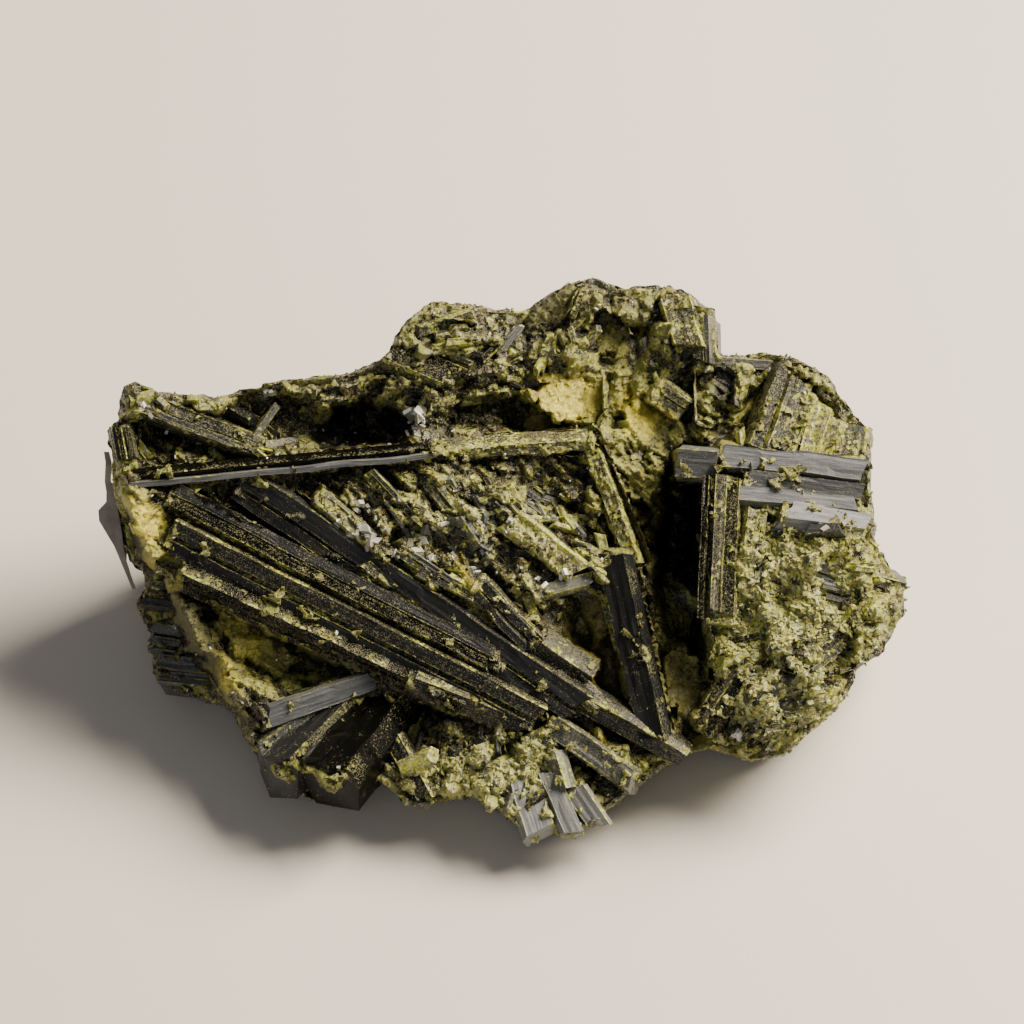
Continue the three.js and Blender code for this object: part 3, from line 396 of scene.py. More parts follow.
def ripple(u, v, cell, seed):
    """Smooth noise from -1 to 1: chance at the corners of square cells, blended by the smoothstep of the
    place in the cell."""
    column, row = np.floor(u / cell), np.floor(v / cell)
    x, y = u / cell - column, v / cell - row
    x, y = x * x * (3 - 2 * x), y * y * (3 - 2 * y)
    low = chance(column, row, seed) * (1 - x) + chance(column + 1, row, seed) * x
    high = chance(column, row + 1, seed) * (1 - x) + chance(column + 1, row + 1, seed) * x
    return 2 * (low * (1 - y) + high * y) - 1


def facets(u, v, cell, height, tilt, seed):
    """The broken, faceted surface of a crystal mass: each place takes the height and tilt of the nearest
    scattered centre, so that every cell is a small plane. Also gives each cell's own tone from 0 to 1."""
    column, row = np.floor(u / cell), np.floor(v / cell)
    nearest = np.full(np.shape(u), np.inf)
    result = np.zeros(np.shape(u))
    tone = np.zeros(np.shape(u))
    for i in (-1, 0, 1):
        for j in (-1, 0, 1):
            ci, cj = column + i, row + j
            du = u - (ci + chance(ci, cj, seed)) * cell
            dv = v - (cj + chance(ci, cj, seed + 1)) * cell
            distance = du * du + dv * dv
            plane = (height * (2 * chance(ci, cj, seed + 2) - 1)
                     + tilt * du * (2 * chance(ci, cj, seed + 3) - 1)
                     + tilt * dv * (2 * chance(ci, cj, seed + 4) - 1))
            closer = distance < nearest
            nearest = np.where(closer, distance, nearest)
            result = np.where(closer, plane, result)
            tone = np.where(closer, chance(ci, cj, seed + 5), tone)
    return result, tone


def smoothstep(value, low, high):
    """0 below low, 1 above high, and an even S between them."""
    t = np.clip((value - low) / (high - low), 0, 1)
    return t * t * (3 - 2 * t)


def within(across, up, at, half, turn, level=0.45, edge=1.25):
    """How far inside an ellipse each place is: 1 in its level part, and from there down to 0 where it is edge
    times its half sizes."""
    angle = math.radians(turn)
    x, y = across - at[0], up - at[1]
    along = (x * math.cos(angle) + y * math.sin(angle)) / half[0]
    aside = (y * math.cos(angle) - x * math.sin(angle)) / half[1]
    return 1 - smoothstep(np.hypot(along, aside), level, edge)


def patches(across, up, zones):
    """The strongest of the named patches at each place, its edge broken by two sizes of noise."""
    ragged = 0.9 * ripple(across, up, 2.3, 301), 0.9 * ripple(across, up, 2.3, 302)
    fine = 0.35 * ripple(across, up, 0.7, 303), 0.35 * ripple(across, up, 0.7, 304)
    u, v = across + ragged[0] + fine[0], up + ragged[1] + fine[1]
    result = np.zeros(np.shape(across))
    for _, at, half, turn, strength in zones:
        result = np.maximum(result, strength * within(u, v, at, half, turn))
    return result


def face_lift(across, up):
    """Lift of the show face over its mean plane: the landforms, the drop past the rim, and two sizes of
    broad facet."""
    lift = np.zeros(np.shape(across))
    for _, at, half, turn, height, level in LANDFORMS:
        lift += height * within(across, up, at, half, turn, level)
    rim = RIM_LINE[1] - RIM_LINE[0]
    rim = rim / np.hypot(*rim)
    past = (across - RIM_LINE[0, 0]) * rim[1] - (up - RIM_LINE[0, 1]) * rim[0]
    lift -= RIM_DROP * smoothstep(past, 0, RIM_DROP_WIDTH)
    return lift + facets(across, up, 5, 1.0, 0.5, 3)[0] + facets(across, up, 2.9, 0.45, 0.4, 11)[0]


def grain_way(across, up):
    """Which way the broken crystals lie at each place, in radians: their zone's own way, or else the usual
    one."""
    way = np.full(np.shape(across), float(GRAIN_WAYS[0][0]))
    for degrees, zones in GRAIN_WAYS[1:]:
        for _, at, half, turn, _ in zones:
            way = np.where(within(across, up, at, half, turn) > 0.5, degrees, way)
    return np.radians(way)


def blocks(u, v, cell, spread, height, tilt, fall, seed):
    """The relief of short crystals that lie side by side: about each scattered centre stands a block whose
    top is tilted and whose sides fall away by fall per mm, and each place takes the highest near it. Also
    gives each block's own tone from 0 to 1."""
    column, row = np.floor(u / cell), np.floor(v / cell)
    best = np.full(np.shape(u), -np.inf)
    tone = np.zeros(np.shape(u))
    for i in (-1, 0, 1):
        for j in (-1, 0, 1):
            ci, cj = column + i, row + j
            du = u - (ci + chance(ci, cj, seed)) * cell
            dv = v - (cj + chance(ci, cj, seed + 1)) * cell
            angle = grain_way(ci * cell, cj * cell) + spread * (2 * chance(ci, cj, seed + 2) - 1)
            along = du * np.cos(angle) + dv * np.sin(angle)
            aside = dv * np.cos(angle) - du * np.sin(angle)
            reach = cell * (0.35 + 0.6 * chance(ci, cj, seed + 3))
            width = cell * (0.14 + 0.26 * chance(ci, cj, seed + 4))
            top = (height * chance(ci, cj, seed + 5) + tilt * aside * (2 * chance(ci, cj, seed + 6) - 1)
                   + 0.35 * tilt * along * (2 * chance(ci, cj, seed + 7) - 1))
            rise = top - fall * (np.maximum(np.abs(along) - reach, 0) + np.maximum(np.abs(aside) - width, 0))
            tone = np.where(rise > best, chance(ci, cj, seed + 8), tone)
            best = np.maximum(best, rise)
    return best, tone


def section_corners(breadth, thickness):
    """The six corners of a crystal's section, flattened along its breadth, from the right one round."""
    return np.array([(0.5 * breadth, 0.14 * thickness), (0.38 * breadth, 0.5 * thickness),
                     (-0.38 * breadth, 0.5 * thickness), (-0.5 * breadth, 0.14 * thickness),
                     (-0.36 * breadth, -0.5 * thickness), (0.36 * breadth, -0.5 * thickness)])


def crust_on_crystals(across, up):
    """The lift of the crust that clings to the large crystals: their own near sides, as the upper edges of
    their turned sections, less a depth that leaves most of each crystal clear of it. Thin angular patches lie
    over them, more of them where they are coated."""
    lift = np.full(np.shape(across), -np.inf)
    patchy = facets(across, up, 2.4, 1.0, 0.4, 57)[0] + facets(across, up, 1.0, 0.5, 0.3, 67)[0]
    ragged = 0.3 * ripple(across, up, 1.1, 58)
    for _, start, end, (breadth, thickness), roll, _, _, _, coat in PRISMS + lobe_ribs():
        (a0, u0, l0), (a1, u1, l1) = start, end
        length = math.hypot(a1 - a0, u1 - u0)
        da, du = (a1 - a0) / length, (u1 - u0) / length
        along = (across - a0) * da + (up - u0) * du
        aside = (up - u0) * da - (across - a0) * du
        turn = math.radians(roll)
        corners = section_corners(breadth, thickness) @ np.array([[math.cos(turn), math.sin(turn)],
                                                                  [-math.sin(turn), math.cos(turn)]])
        # the upper edges of the section, drawn on as lines: the lowest of them is the near side
        top = np.full(np.shape(across), np.inf)
        for (x0, y0), (x1, y1) in zip(corners, np.roll(corners, -1, axis=0)):
            if x0 - x1 > 0.05:
                top = np.minimum(top, y0 + (aside - x0) * (y1 - y0) / (x1 - x0))
        past = np.maximum(np.maximum(-along, along - length) + ragged, 0)
        beside = np.maximum(np.maximum(corners[:, 0].min() - aside, aside - corners[:, 0].max()) + ragged, 0)
        covered = smoothstep(patchy + 1.3 * coat, 1.0, 1.1)
        bury = (1 - smoothstep(coat, 0.2, 0.8)) * (1 - covered) - 0.12 * covered
        bury = bury * (1 - 0.9 * (1 - smoothstep(along, 0.3, 2.0)))
        rise = l0 + (l1 - l0) * np.clip(along / length, 0, 1) + top - bury - 5.0 * past - 5.0 * beside
        near = (past < 1.5) & (beside < 1.5)
        lift = np.where(near, np.maximum(lift, rise), lift)
    return lift


def edge_distance(across, up):
    """Signed distance to the outline, negative inside: the least distance to its sides, with the sign from
    how many sides a ray to the right crosses."""
    ends = np.roll(OUTLINE, -1, axis=0)
    best = np.full(np.shape(across), np.inf)
    crossings = np.zeros(np.shape(across), int)
    for (ax, ay), (bx, by) in zip(OUTLINE, ends):
        dx, dy = bx - ax, by - ay
        t = np.clip(((across - ax) * dx + (up - ay) * dy) / (dx * dx + dy * dy), 0, 1)
        best = np.minimum(best, np.hypot(across - ax - t * dx, up - ay - t * dy))
        spans = (ay > up) != (by > up)
        if dy:
            crossings += spans & (across < ax + (up - ay) * dx / dy)
    return np.where(crossings % 2 == 1, -best, best)


def linear(hex_colour):
    """An sRGB hex colour as linear RGBA."""
    shares = [int(hex_colour[i:i + 2], 16) / 255 for i in (1, 3, 5)]
    return [(c / 12.92 if c <= 0.04045 else ((c + 0.055) / 1.055) ** 2.4) for c in shares] + [1.0]


def mesh_piece(name, points, faces, material, attributes=None):
    """An object at the origin from points in mm and triangles, with a number per point for each attribute."""
    data = bpy.data.meshes.new(name)
    data.vertices.add(len(points))
    data.vertices.foreach_set("co", (np.asarray(points) * MM).astype(np.float32).ravel())
    data.loops.add(3 * len(faces))
    data.loops.foreach_set("vertex_index", np.asarray(faces, np.int32).ravel())
    data.polygons.add(len(faces))
    data.polygons.foreach_set("loop_start", np.arange(0, 3 * len(faces), 3, dtype=np.int32))
    data.polygons.foreach_set("use_smooth", np.zeros(len(faces), bool))
    data.update(calc_edges=True)
    data.validate()
    for label, values in (attributes or {}).items():
        layer = data.attributes.new(label, "FLOAT", "POINT")
        layer.data.foreach_set("value", np.asarray(values, np.float32))
    data.materials.append(material)
    piece = bpy.data.objects.new(name, data)
    bpy.context.scene.collection.objects.link(piece)
    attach(piece, "root")
    return piece


class Heap:
    """Points, faces and attributes of many small shapes that become one mesh."""

    def __init__(self):
        self.points, self.faces, self.attributes, self.count = [], [], {}, 0

    def add(self, points, faces, **attributes):
        """Takes one more shape, with a number for all its points, or one for each, for each attribute."""
        self.points.append(points)
        self.faces.append(faces + self.count)
        for label, values in attributes.items():
            whole = np.broadcast_to(np.asarray(values, float), len(points))
            self.attributes.setdefault(label, []).append(whole)
        self.count += len(points)

    def piece(self, name, material):
        """The mesh of all the shapes."""
        joined = {label: np.concatenate(parts) for label, parts in self.attributes.items()}
        return mesh_piece(name, np.concatenate(self.points), np.concatenate(self.faces), material, joined)


def add(tree, kind, inputs=None, stops=None, **settings):
    """Adds a shader node and gives its outputs. Its settings are set, its inputs set or linked by name or
    number, and stops are a colour ramp's, each (position, hex colour). A MapRange's inputs 0 to 4 are its
    value, the low and high ends of the range it comes from, and those of the range it goes to."""
    made = tree.nodes.new("ShaderNode" + kind)
    for label, value in settings.items():
        setattr(made, label, value)
    for label, value in (inputs or {}).items():
        if isinstance(value, bpy.types.NodeSocket):
            tree.links.new(value, made.inputs[label])
        else:
            made.inputs[label].default_value = value
    if stops:
        ramp = made.color_ramp
        while len(ramp.elements) < len(stops):
            ramp.elements.new(0.5)
        for element, (position, colour) in zip(ramp.elements, stops):
            element.position = position
            element.color = linear(colour)
    return made.outputs


def new_material(name):
    """An empty node material, and its tree."""
    made = bpy.data.materials.new(name)
    made.use_nodes = True
    made.node_tree.nodes.clear()
    return made, made.node_tree


def surfaced(material, inputs):
    """The material with its shader, whose inputs are set or linked."""
    shader = add(material.node_tree, "BsdfPrincipled", inputs)["BSDF"]
    add(material.node_tree, "OutputMaterial", {"Surface": shader})
    return material


def camera():
    """A long lens on the show face, at the height that the layout is seen from."""
    data = bpy.data.cameras.new("show_camera")
    data.sensor_width = 36
    data.lens = 18 / (VIEW_WIDTH / 2 / VIEW_DISTANCE)
    data.clip_start, data.clip_end = 0.1, 10
    eye = bpy.data.objects.new("show_camera", data)
    eye.location = place(*VIEW_CENTRE, VIEW_DISTANCE) * MM
    eye.rotation_euler = (math.pi / 2 - SHOW_ELEVATION, 0, 0)
    bpy.context.scene.collection.objects.link(eye)
    bpy.context.scene.camera = eye


def lamp(name, azimuth, elevation, distance, size, watts, colour):
    """A square lamp that looks at the specimen from an elevation, and an azimuth clockwise from +Y."""
    data = bpy.data.lights.new(name, "AREA")
    data.size = size
    data.energy = watts
    data.color = linear(colour)[:3]
    a, e = math.radians(azimuth), math.radians(elevation)
    way = np.array([math.sin(a) * math.cos(e), math.cos(a) * math.cos(e), math.sin(e)])
    made = bpy.data.objects.new(name, data)
    made.location = way * distance
    made.rotation_euler = (math.pi / 2 - e, 0, math.pi - a)
    bpy.context.scene.collection.objects.link(made)


def studio():
    """The pale table, the window light from behind on the right, and a weak fill from all round."""
    reach = 3.0
    corners = [(-reach, -reach, 0), (reach, -reach, 0), (reach, reach, 0), (-reach, reach, 0)]
    data = bpy.data.meshes.new("table")
    data.from_pydata(corners, [], [(0, 1, 2, 3)])
    material, _ = new_material("pale_table")
    data.materials.append(surfaced(material, {"Base Color": linear("#d8d3cc"), "Roughness": 0.6}))
    table = bpy.data.objects.new("table", data)
    bpy.context.scene.collection.objects.link(table)
    world = bpy.data.worlds.new("room")
    bpy.context.scene.world = world
    world.use_nodes = True
    world.node_tree.nodes["Background"].inputs["Color"].default_value = linear("#e8e5e0")
    world.node_tree.nodes["Background"].inputs["Strength"].default_value = 0.17
    lamp("window", 68, 46, 0.6, 0.42, 15.0, "#fff0da")
    lamp("front_fill", 190, 30, 0.9, 0.5, 1.2, "#f2f3ff")


def scale_for(size):
    """The scale of a pattern whose features have this size in mm."""
    return 1 / (size * MM)


def weighted(tree, parts, more=0.0):
    """The sum of values times their weights, and more, as a socket."""
    total = more
    for value, weight in parts:
        total = add(tree, "Math", {0: value, 1: weight, 2: total}, operation="MULTIPLY_ADD")[0]
    return total


def layered(tree, colour, layers):
    """A colour with others laid over it in turn, each by its own share."""
    for share, over in layers:
        colour = add(tree, "Mix", {0: share, 6: colour, 7: over}, data_type="RGBA")[2]
    return colour


def cell_chances(tree, spot, size):
    """Three chance numbers from 0 to 1 for each of the scattered cells of this size in mm."""
    cells = add(tree, "TexVoronoi", {"Vector": spot, "Scale": scale_for(size)})
    return add(tree, "SeparateColor", {"Color": cells["Color"]})


def dust(tree, spot, extent, most):
    """Specks of a ninth of a millimetre: the share of a dust colour at each place, for how far the dust
    extends from 0 to 1."""
    reached = add(tree, "Math", {0: cell_chances(tree, spot, 0.11)[1], 1: extent}, operation="ADD")[0]
    return add(tree, "MapRange", {0: reached, 1: 1.0, 2: 1.1, 3: 0.0, 4: most})[0]


def veins(tree, spot, spacing, width):
    """Thin wavy lines about this many mm apart, 1 on them and 0 off them: the places where a distorted noise
    passes its middle value."""
    wavy = add(tree, "TexNoise", {"Vector": spot, "Scale": scale_for(spacing), "Detail": 5.0,
                                  "Roughness": 0.62, "Distortion": 0.7})["Fac"]
    off = add(tree, "Math", {0: wavy, 1: 0.5}, operation="SUBTRACT")[0]
    off = add(tree, "Math", {0: off}, operation="ABSOLUTE")[0]
    return add(tree, "MapRange", {0: off, 1: 0.0, 2: width, 3: 1.0, 4: 0.0})[0]


def crust_colour(tree, spot, tone, pale):
    """The yellow-green crust: crumbs of a quarter millimetre from dark olive to pale yellow, broken by a
    crackle, with grayer crumbs among them, more of them where it is pale. Also gives the crackle."""
    own = cell_chances(tree, spot, 0.27)
    crackle = add(tree, "TexNoise", {"Vector": spot, "Scale": scale_for(0.7), "Detail": 8.0,
                                     "Roughness": 0.78})["Fac"]
    sharp = add(tree, "MapRange", {0: crackle, 1: 0.36, 2: 0.64})[0]
    shade = weighted(tree, [(pale, 0.3), (sharp, 0.4), (tone, 0.26), (own[0], 0.34)])
    olive = add(tree, "ValToRGB", {"Fac": shade}, [(0.05, "#202208"), (0.25, "#494c12"), (0.45, "#737720"),
                                                   (0.65, "#9a9d34"), (0.95, "#c5c766")])["Color"]
    gray = add(tree, "ValToRGB", {"Fac": shade}, [(0.05, "#292b21"), (0.4, "#666959"), (0.7, "#979a88"),
                                                  (0.95, "#c1c4b5")])["Color"]
    grayer = weighted(tree, [(pale, 0.25)], own[1])
    grayer = add(tree, "MapRange", {0: grayer, 1: 0.72, 2: 0.84, 3: 0.0, 4: 0.75})[0]
    return layered(tree, olive, [(grayer, gray)]), crackle


def facetted_normal(tree, spot, sizes):
    """A normal that is constant over each of the small facets it divides the surface into: the surface's own,
    turned by the chance colour of scattered cells, for each (size in mm, strength)."""
    normal = add(tree, "NewGeometry")["Normal"]
    for size, strength in sizes:
        cells = add(tree, "TexVoronoi", {"Vector": spot, "Scale": scale_for(size)})["Color"]
        turned = add(tree, "VectorMath", {0: cells, 1: (0.5, 0.5, 0.5)}, operation="SUBTRACT")[0]
        scaled = add(tree, "VectorMath", {0: turned, "Scale": strength}, operation="SCALE")[0]
        normal = add(tree, "VectorMath", {0: normal, 1: scaled}, operation="ADD")[0]
    return add(tree, "VectorMath", {0: normal}, operation="NORMALIZE")[0]


def granular_epidote():
    """Granular epidote, broken: some of its small faces are coated pistachio to olive and dull, and the rest
    are bare, glassy and blackish green. Dust and fine pale veins lie over both, rusty specks here and there,
    and tan stain, powdery yellow, and near black for dark patches and painted shade, each where its own
    attribute says."""
    made, tree = new_material("granular_epidote")
    spot = add(tree, "TexCoord")["Object"]
    tone, coat, pale, tan, powder, dark = (add(tree, "Attribute", attribute_name=label)["Fac"]
                                           for label in ("tone", "coat", "pale", "tan", "powder", "dark"))
    # grains of 0.4 mm, and lumps of 3 mm that the coat follows
    own = cell_chances(tree, spot, 0.4)
    lump = add(tree, "TexNoise", {"Vector": spot, "Scale": scale_for(3.0), "Detail": 6.0,
                                  "Roughness": 0.62})["Fac"]
    mixed = weighted(tree, [(lump, 0.4), (tone, 0.5), (own[0], 0.22)])
    reach = weighted(tree, [(coat, 0.6), (mixed, -1.0)], 0.26)
    coated = add(tree, "MapRange", {0: reach, 1: -0.04, 2: 0.05})[0]
    green, crackle = crust_colour(tree, spot, tone, pale)
    shade = weighted(tree, [(tone, 0.5), (own[2], 0.5)])
    bare = add(tree, "ValToRGB", {"Fac": shade}, [(0.0, "#0b0c07"), (0.4, "#191a10"), (0.65, "#2c2c1c"),
                                                  (0.85, "#4c4b39"), (1.0, "#77766a")])["Color"]
    stain = add(tree, "ValToRGB", {"Fac": lump},
                [(0.3, "#3a3810"), (0.5, "#726e2c"), (0.75, "#a09a56")])["Color"]
    bright = add(tree, "ValToRGB", {"Fac": mixed},
                 [(0.35, "#d8cc4e"), (0.6, "#beb43a"), (1.0, "#847e22")])["Color"]
    specks = dust(tree, spot, weighted(tree, [(pale, 0.15)], 0.15), 0.5)
    vein = veins(tree, spot, 1.7, 0.022)
    rust = add(tree, "TexNoise", {"Vector": spot, "Scale": scale_for(1.1), "Detail": 2.0})["Fac"]
    rust = add(tree, "MapRange", {0: rust, 1: 0.62, 2: 0.7, 3: 0.0, 4: 0.6})[0]
    colour = layered(tree, bare, [
        (coated, green),
        (specks, linear("#a19d72")),
        (weighted(tree, [(vein, 0.6)]), linear("#b3ad6c")),
        (weighted(tree, [(tan, 0.8)]), stain),
        (weighted(tree, [(powder, 0.86)]), bright),
        (rust, linear("#6a4a18")),
        # near black over the dark patches and over painted shade in hollows, gaps and crevices
        (dark, linear("#080806")),
    ])
    facet = facetted_normal(tree, spot, [(0.8, 0.5), (0.3, 0.5)])
    relief = add(tree, "Bump", {"Height": weighted(tree, [(vein, 0.5)], crackle), "Strength": 0.7,
                                "Distance": 0.2 * MM, "Normal": facet})["Normal"]
    return surfaced(made, {
        "Base Color": colour,
        "Roughness": add(tree, "MapRange", {0: coated, 1: 0.0, 2: 1.0, 3: 0.18, 4: 0.6})[0],
        "IOR": 1.6,
        "Normal": relief,
    })


def glassy_epidote():
    """Crystal faces of epidote: vitreous and almost black green, finely striated along the prism, with a
    silver-gray painted sheen on some, a painted reflection on their flat faces. Specks of dust, fine veins
    and flecks of yellow-green crust lie where they are coated, most of them along the edges."""
    made, tree = new_material("glassy_epidote")
    spot = add(tree, "TexCoord")["Object"]
    along, aside, tone, coat = (add(tree, "Attribute", attribute_name=label)["Fac"]
                                for label in ("along", "aside", "tone", "coat"))
    # striae every 0.2 mm or so, drawn out twenty times along the prism; real ones are too fine to show
    lay = add(tree, "CombineXYZ", {"X": aside, "Y": weighted(tree, [(along, 0.05)]), "Z": tone})[0]
    striae = add(tree, "TexNoise", {"Vector": lay, "Scale": 5.0, "Detail": 4.0, "Roughness": 0.7})["Fac"]
    ink = add(tree, "ValToRGB", {"Fac": striae},
              [(0.35, "#020302"), (0.55, "#060704"), (0.7, "#0d0e08"), (0.85, "#1e1e15")])["Color"]
    # painted sheen: a silver-gray colour that stands for light mirrored by the flat faces
    painted_sheen = add(tree, "ValToRGB", {"Fac": striae},
                 [(0.3, "#4a4d51"), (0.5, "#74787c"), (0.66, "#8e9296"), (0.8, "#b0b4b6")])["Color"]
    # crumbs of 0.32 mm, and lumps of 2.4 mm that dust and crust follow
    own = cell_chances(tree, spot, 0.32)
    lump = add(tree, "TexNoise", {"Vector": spot, "Scale": scale_for(2.4), "Detail": 6.0,
                                  "Roughness": 0.68})["Fac"]
    mixed = weighted(tree, [(lump, 0.9), (own[0], 0.35)])
    crusted = weighted(tree, [(coat, 0.8), (mixed, -1.0)], 0.22)
    crusted = add(tree, "MapRange", {0: crusted, 1: -0.05, 2: 0.05})[0]
    crust, _ = crust_colour(tree, spot, own[2], own[1])
    specks = dust(tree, spot, weighted(tree, [(coat, 1.2), (lump, 0.9)], -0.43), 0.55)
    veined = add(tree, "MapRange", {0: coat, 1: 0.05, 2: 0.3, 3: 0.0, 4: 0.5})[0]
    veined = add(tree, "Math", {0: veins(tree, spot, 2.6, 0.009), 1: veined}, operation="MULTIPLY")[0]
    colour = layered(tree, ink, [
        (tone, painted_sheen),
        (specks, linear("#868362")),
        (veined, linear("#8f8a58")),
        (crusted, crust),
    ])
    rough = add(tree, "MapRange", {0: crusted, 1: 0.0, 2: 1.0, 3: 0.2, 4: 0.6})[0]
    normal = add(tree, "Bump", {"Height": striae, "Strength": 0.25, "Distance": 0.1 * MM})["Normal"]
    pits = add(tree, "TexNoise", {"Vector": spot, "Scale": scale_for(0.2), "Detail": 3.0,
                                  "Roughness": 0.7})["Fac"]
    normal = add(tree, "Bump", {"Height": pits, "Strength": 0.4, "Distance": 0.1 * MM,
                                "Normal": normal})["Normal"]
    normal = add(tree, "Bump", {"Height": mixed, "Strength": 0.5, "Distance": 0.15 * MM,
                                "Normal": normal})["Normal"]
    # the striae and pits scatter most of what a clean face would mirror, so the specular level is low
    return surfaced(made, {
        "Base Color": colour,
        "Roughness": weighted(tree, [(tone, 0.22)], rough),
        "Specular IOR Level": 0.1,
        "IOR": 1.73,
        "Normal": normal,
    })


def clear_epidote_and_painted_glint():
    """Small clear crystals: glassy, from gray to a near-white painted glint, each with its own tint, a little
    clouded inside.
    """
    made, tree = new_material("clear_epidote_and_painted_glint")
    spot = add(tree, "TexCoord")["Object"]
    tint = add(tree, "Attribute", attribute_name="tint")["Fac"]
    cloud = add(tree, "TexNoise", {"Vector": spot, "Scale": scale_for(0.5), "Detail": 3.0})["Fac"]
    shade = weighted(tree, [(cloud, 0.5), (tint, 1.0)], -0.25)
    # the near-white end is a painted glint, so that they stay bright in shade
    colour = add(tree, "ValToRGB", {"Fac": shade},
                 [(0.0, "#6f6d5c"), (0.5, "#a5a396"), (1.0, "#e4e3dc")])["Color"]
    relief = add(tree, "Bump", {"Height": cloud, "Strength": 0.4, "Distance": 0.1 * MM})["Normal"]
    return surfaced(made, {"Base Color": colour, "Roughness": 0.15, "IOR": 1.55, "Normal": relief})


def worn_paper():
    """Worn label paper: matte gray-white, with soft stains of 2 mm."""
    made, tree = new_material("worn_paper")
    spot = add(tree, "TexCoord")["Object"]
    stain = add(tree, "TexNoise", {"Vector": spot, "Scale": scale_for(2.0), "Detail": 4.0})["Fac"]
    colour = add(tree, "ValToRGB", {"Fac": stain},
                 [(0.3, "#8b8580"), (0.55, "#a8a29c"), (0.8, "#b5b0aa")])["Color"]
    return surfaced(made, {"Base Color": colour, "Roughness": 0.85})


def face_zones(across, up, heights, tone):
    """What each place on the show face is made of, from its patches and its relief, and where painted shade
    darkens it:
    proud places carry more coat, and low places and crevices get painted shade. The numbers are 0 to 1 under
    the names that the materials read."""
    proud = (heights - blurred(heights, PROUD_REACH / FACE_STEP)).ravel()
    sunk = (blurred(heights, CREVICE_REACH / FACE_STEP) - heights).ravel()
    coat = USUAL_COAT + patches(across, up, COATINGS) + 0.12 * ripple(across, up, 6, 311)
    # painted shade: low places and crevices are darkened as if in shadow
    hollow_shade = 0.4 * smoothstep(-proud, 0.35, 1.1) + 0.35 * smoothstep(sunk, 0.06, 0.3)
    zones = {
        "coat": coat + 0.28 * np.clip(proud / 0.4, -1, 1),
        "pale": patches(across, up, PALES),
        "powder": patches(across, up, POWDERS),
        "tan": patches(across, up, TANS),
        # dark: the dark patches, and painted shade from the table and from the hollows
        "dark": patches(across, up, DARKS_AND_PAINTED_SHADE) + hollow_shade,
        "tone": tone,
    }
    return {label: np.clip(values, 0, 1) for label, values in zones.items()}


def face_grid():
    """The show face's square grid over across and up. Points near the outline are drawn onto it along the
    slope of their distance to it. Also gives that distance as a table, a row for each step up."""
    u = np.arange(-FACE_REACH[0], FACE_REACH[0], FACE_STEP)
    v = np.arange(-FACE_REACH[1], FACE_REACH[1], FACE_STEP)
    across, up = (grid.ravel() for grid in np.meshgrid(u, v))
    gap = edge_distance(across, up) + 0.25 * ripple(across, up, 1.7, 41) + 0.2 * ripple(across, up, 0.7, 42)
    table = gap.reshape(len(v), len(u))
    slope_v, slope_u = np.gradient(table, FACE_STEP)
    steep = np.maximum(np.hypot(slope_u, slope_v), 0.4).ravel()
    near = np.abs(gap) < 0.9 * FACE_STEP
    across = np.where(near, across - gap * slope_u.ravel() / steep ** 2, across)
    up = np.where(near, up - gap * slope_v.ravel() / steep ** 2, up)
    return across, up, table


def smooth_form(across, up, table):
    """The lift of the show face before it is broken up: the landforms, softened a little, with the clearings
    taken out and the smooth floors put in, and the large crystals' crust over it. Also gives how far that
    crust holds each place, from 0 to 1."""
    lift = face_lift(across + 0.5 * ripple(across, up, 2.6, 53), up + 0.5 * ripple(across, up, 2.6, 54))
    lift = blurred(lift.reshape(table.shape), SOFTENED / FACE_STEP).ravel()
    for _, at, half, turn, fall in CLEARINGS:
        lift = lift - fall * within(across, up, at, half, turn)
    bent_across = across + 0.6 * facets(across, up, 1.3, 1.0, 0.3, 303)[0]
    bent_up = up + 0.6 * facets(across, up, 1.3, 1.0, 0.3, 313)[0]
    for _, at, half, turn, height, slope_across, slope_up in FLOORS:
        floor = height + slope_across * (across - at[0]) + slope_up * (up - at[1])
        lift = lift + (floor - lift) * within(bent_across, bent_up, at, half, turn, 0.8, 1.1)
    crust = crust_on_crystals(across, up)
    return np.maximum(lift, crust), smoothstep(crust - lift, -0.6, 0.3)


def broken_relief(across, up, rough, held):
    """The show face's broken crystals: two sizes of block, and small facets with fibres along the way that
    the crystals lie, lower where the face is smooth or crust holds it. Also gives a tone from 0 to 1."""
    wu, wv = across + 0.25 * ripple(across, up, 2.2, 51), up + 0.25 * ripple(across, up, 2.2, 52)
    broad, broad_tone = blocks(wu, wv, 3.0, 0.6, 1.1, 0.8, 2.6, 61)
    small, small_tone = blocks(wu, wv, 1.6, 0.6, 0.42, 0.8, 2.4, 171)
    chips, chips_tone = facets(wu, wv, 0.85, 0.08, 0.45, 271)
    way = grain_way(across, up)
    fibre = wu * np.cos(way) + wv * np.sin(way), wv * np.cos(way) - wu * np.sin(way)
    chips = (chips + 0.13 * ripple(fibre[0] / 4, fibre[1], 0.5, 83)
             + 0.18 * ripple(fibre[0] / 5, fibre[1], 1.1, 84))
    tone = 0.35 * broad_tone + 0.35 * small_tone + 0.3 * chips_tone
    broad, small = np.maximum(broad, 0) - 0.55, np.maximum(small, 0) - 0.25
    standing = rough * ((1 - 0.75 * held) * broad + (1 - 0.5 * held) * small)
    return standing + (0.4 + 0.6 * rough) * chips, tone


def grid_triangles(index, taken):
    """Two triangles for each taken cell of a grid of point numbers."""
    a, b, c, d = index[:-1, :-1], index[:-1, 1:], index[1:, 1:], index[1:, :-1]
    return np.concatenate([np.stack([a, b, c], -1)[taken], np.stack([a, c, d], -1)[taken]])


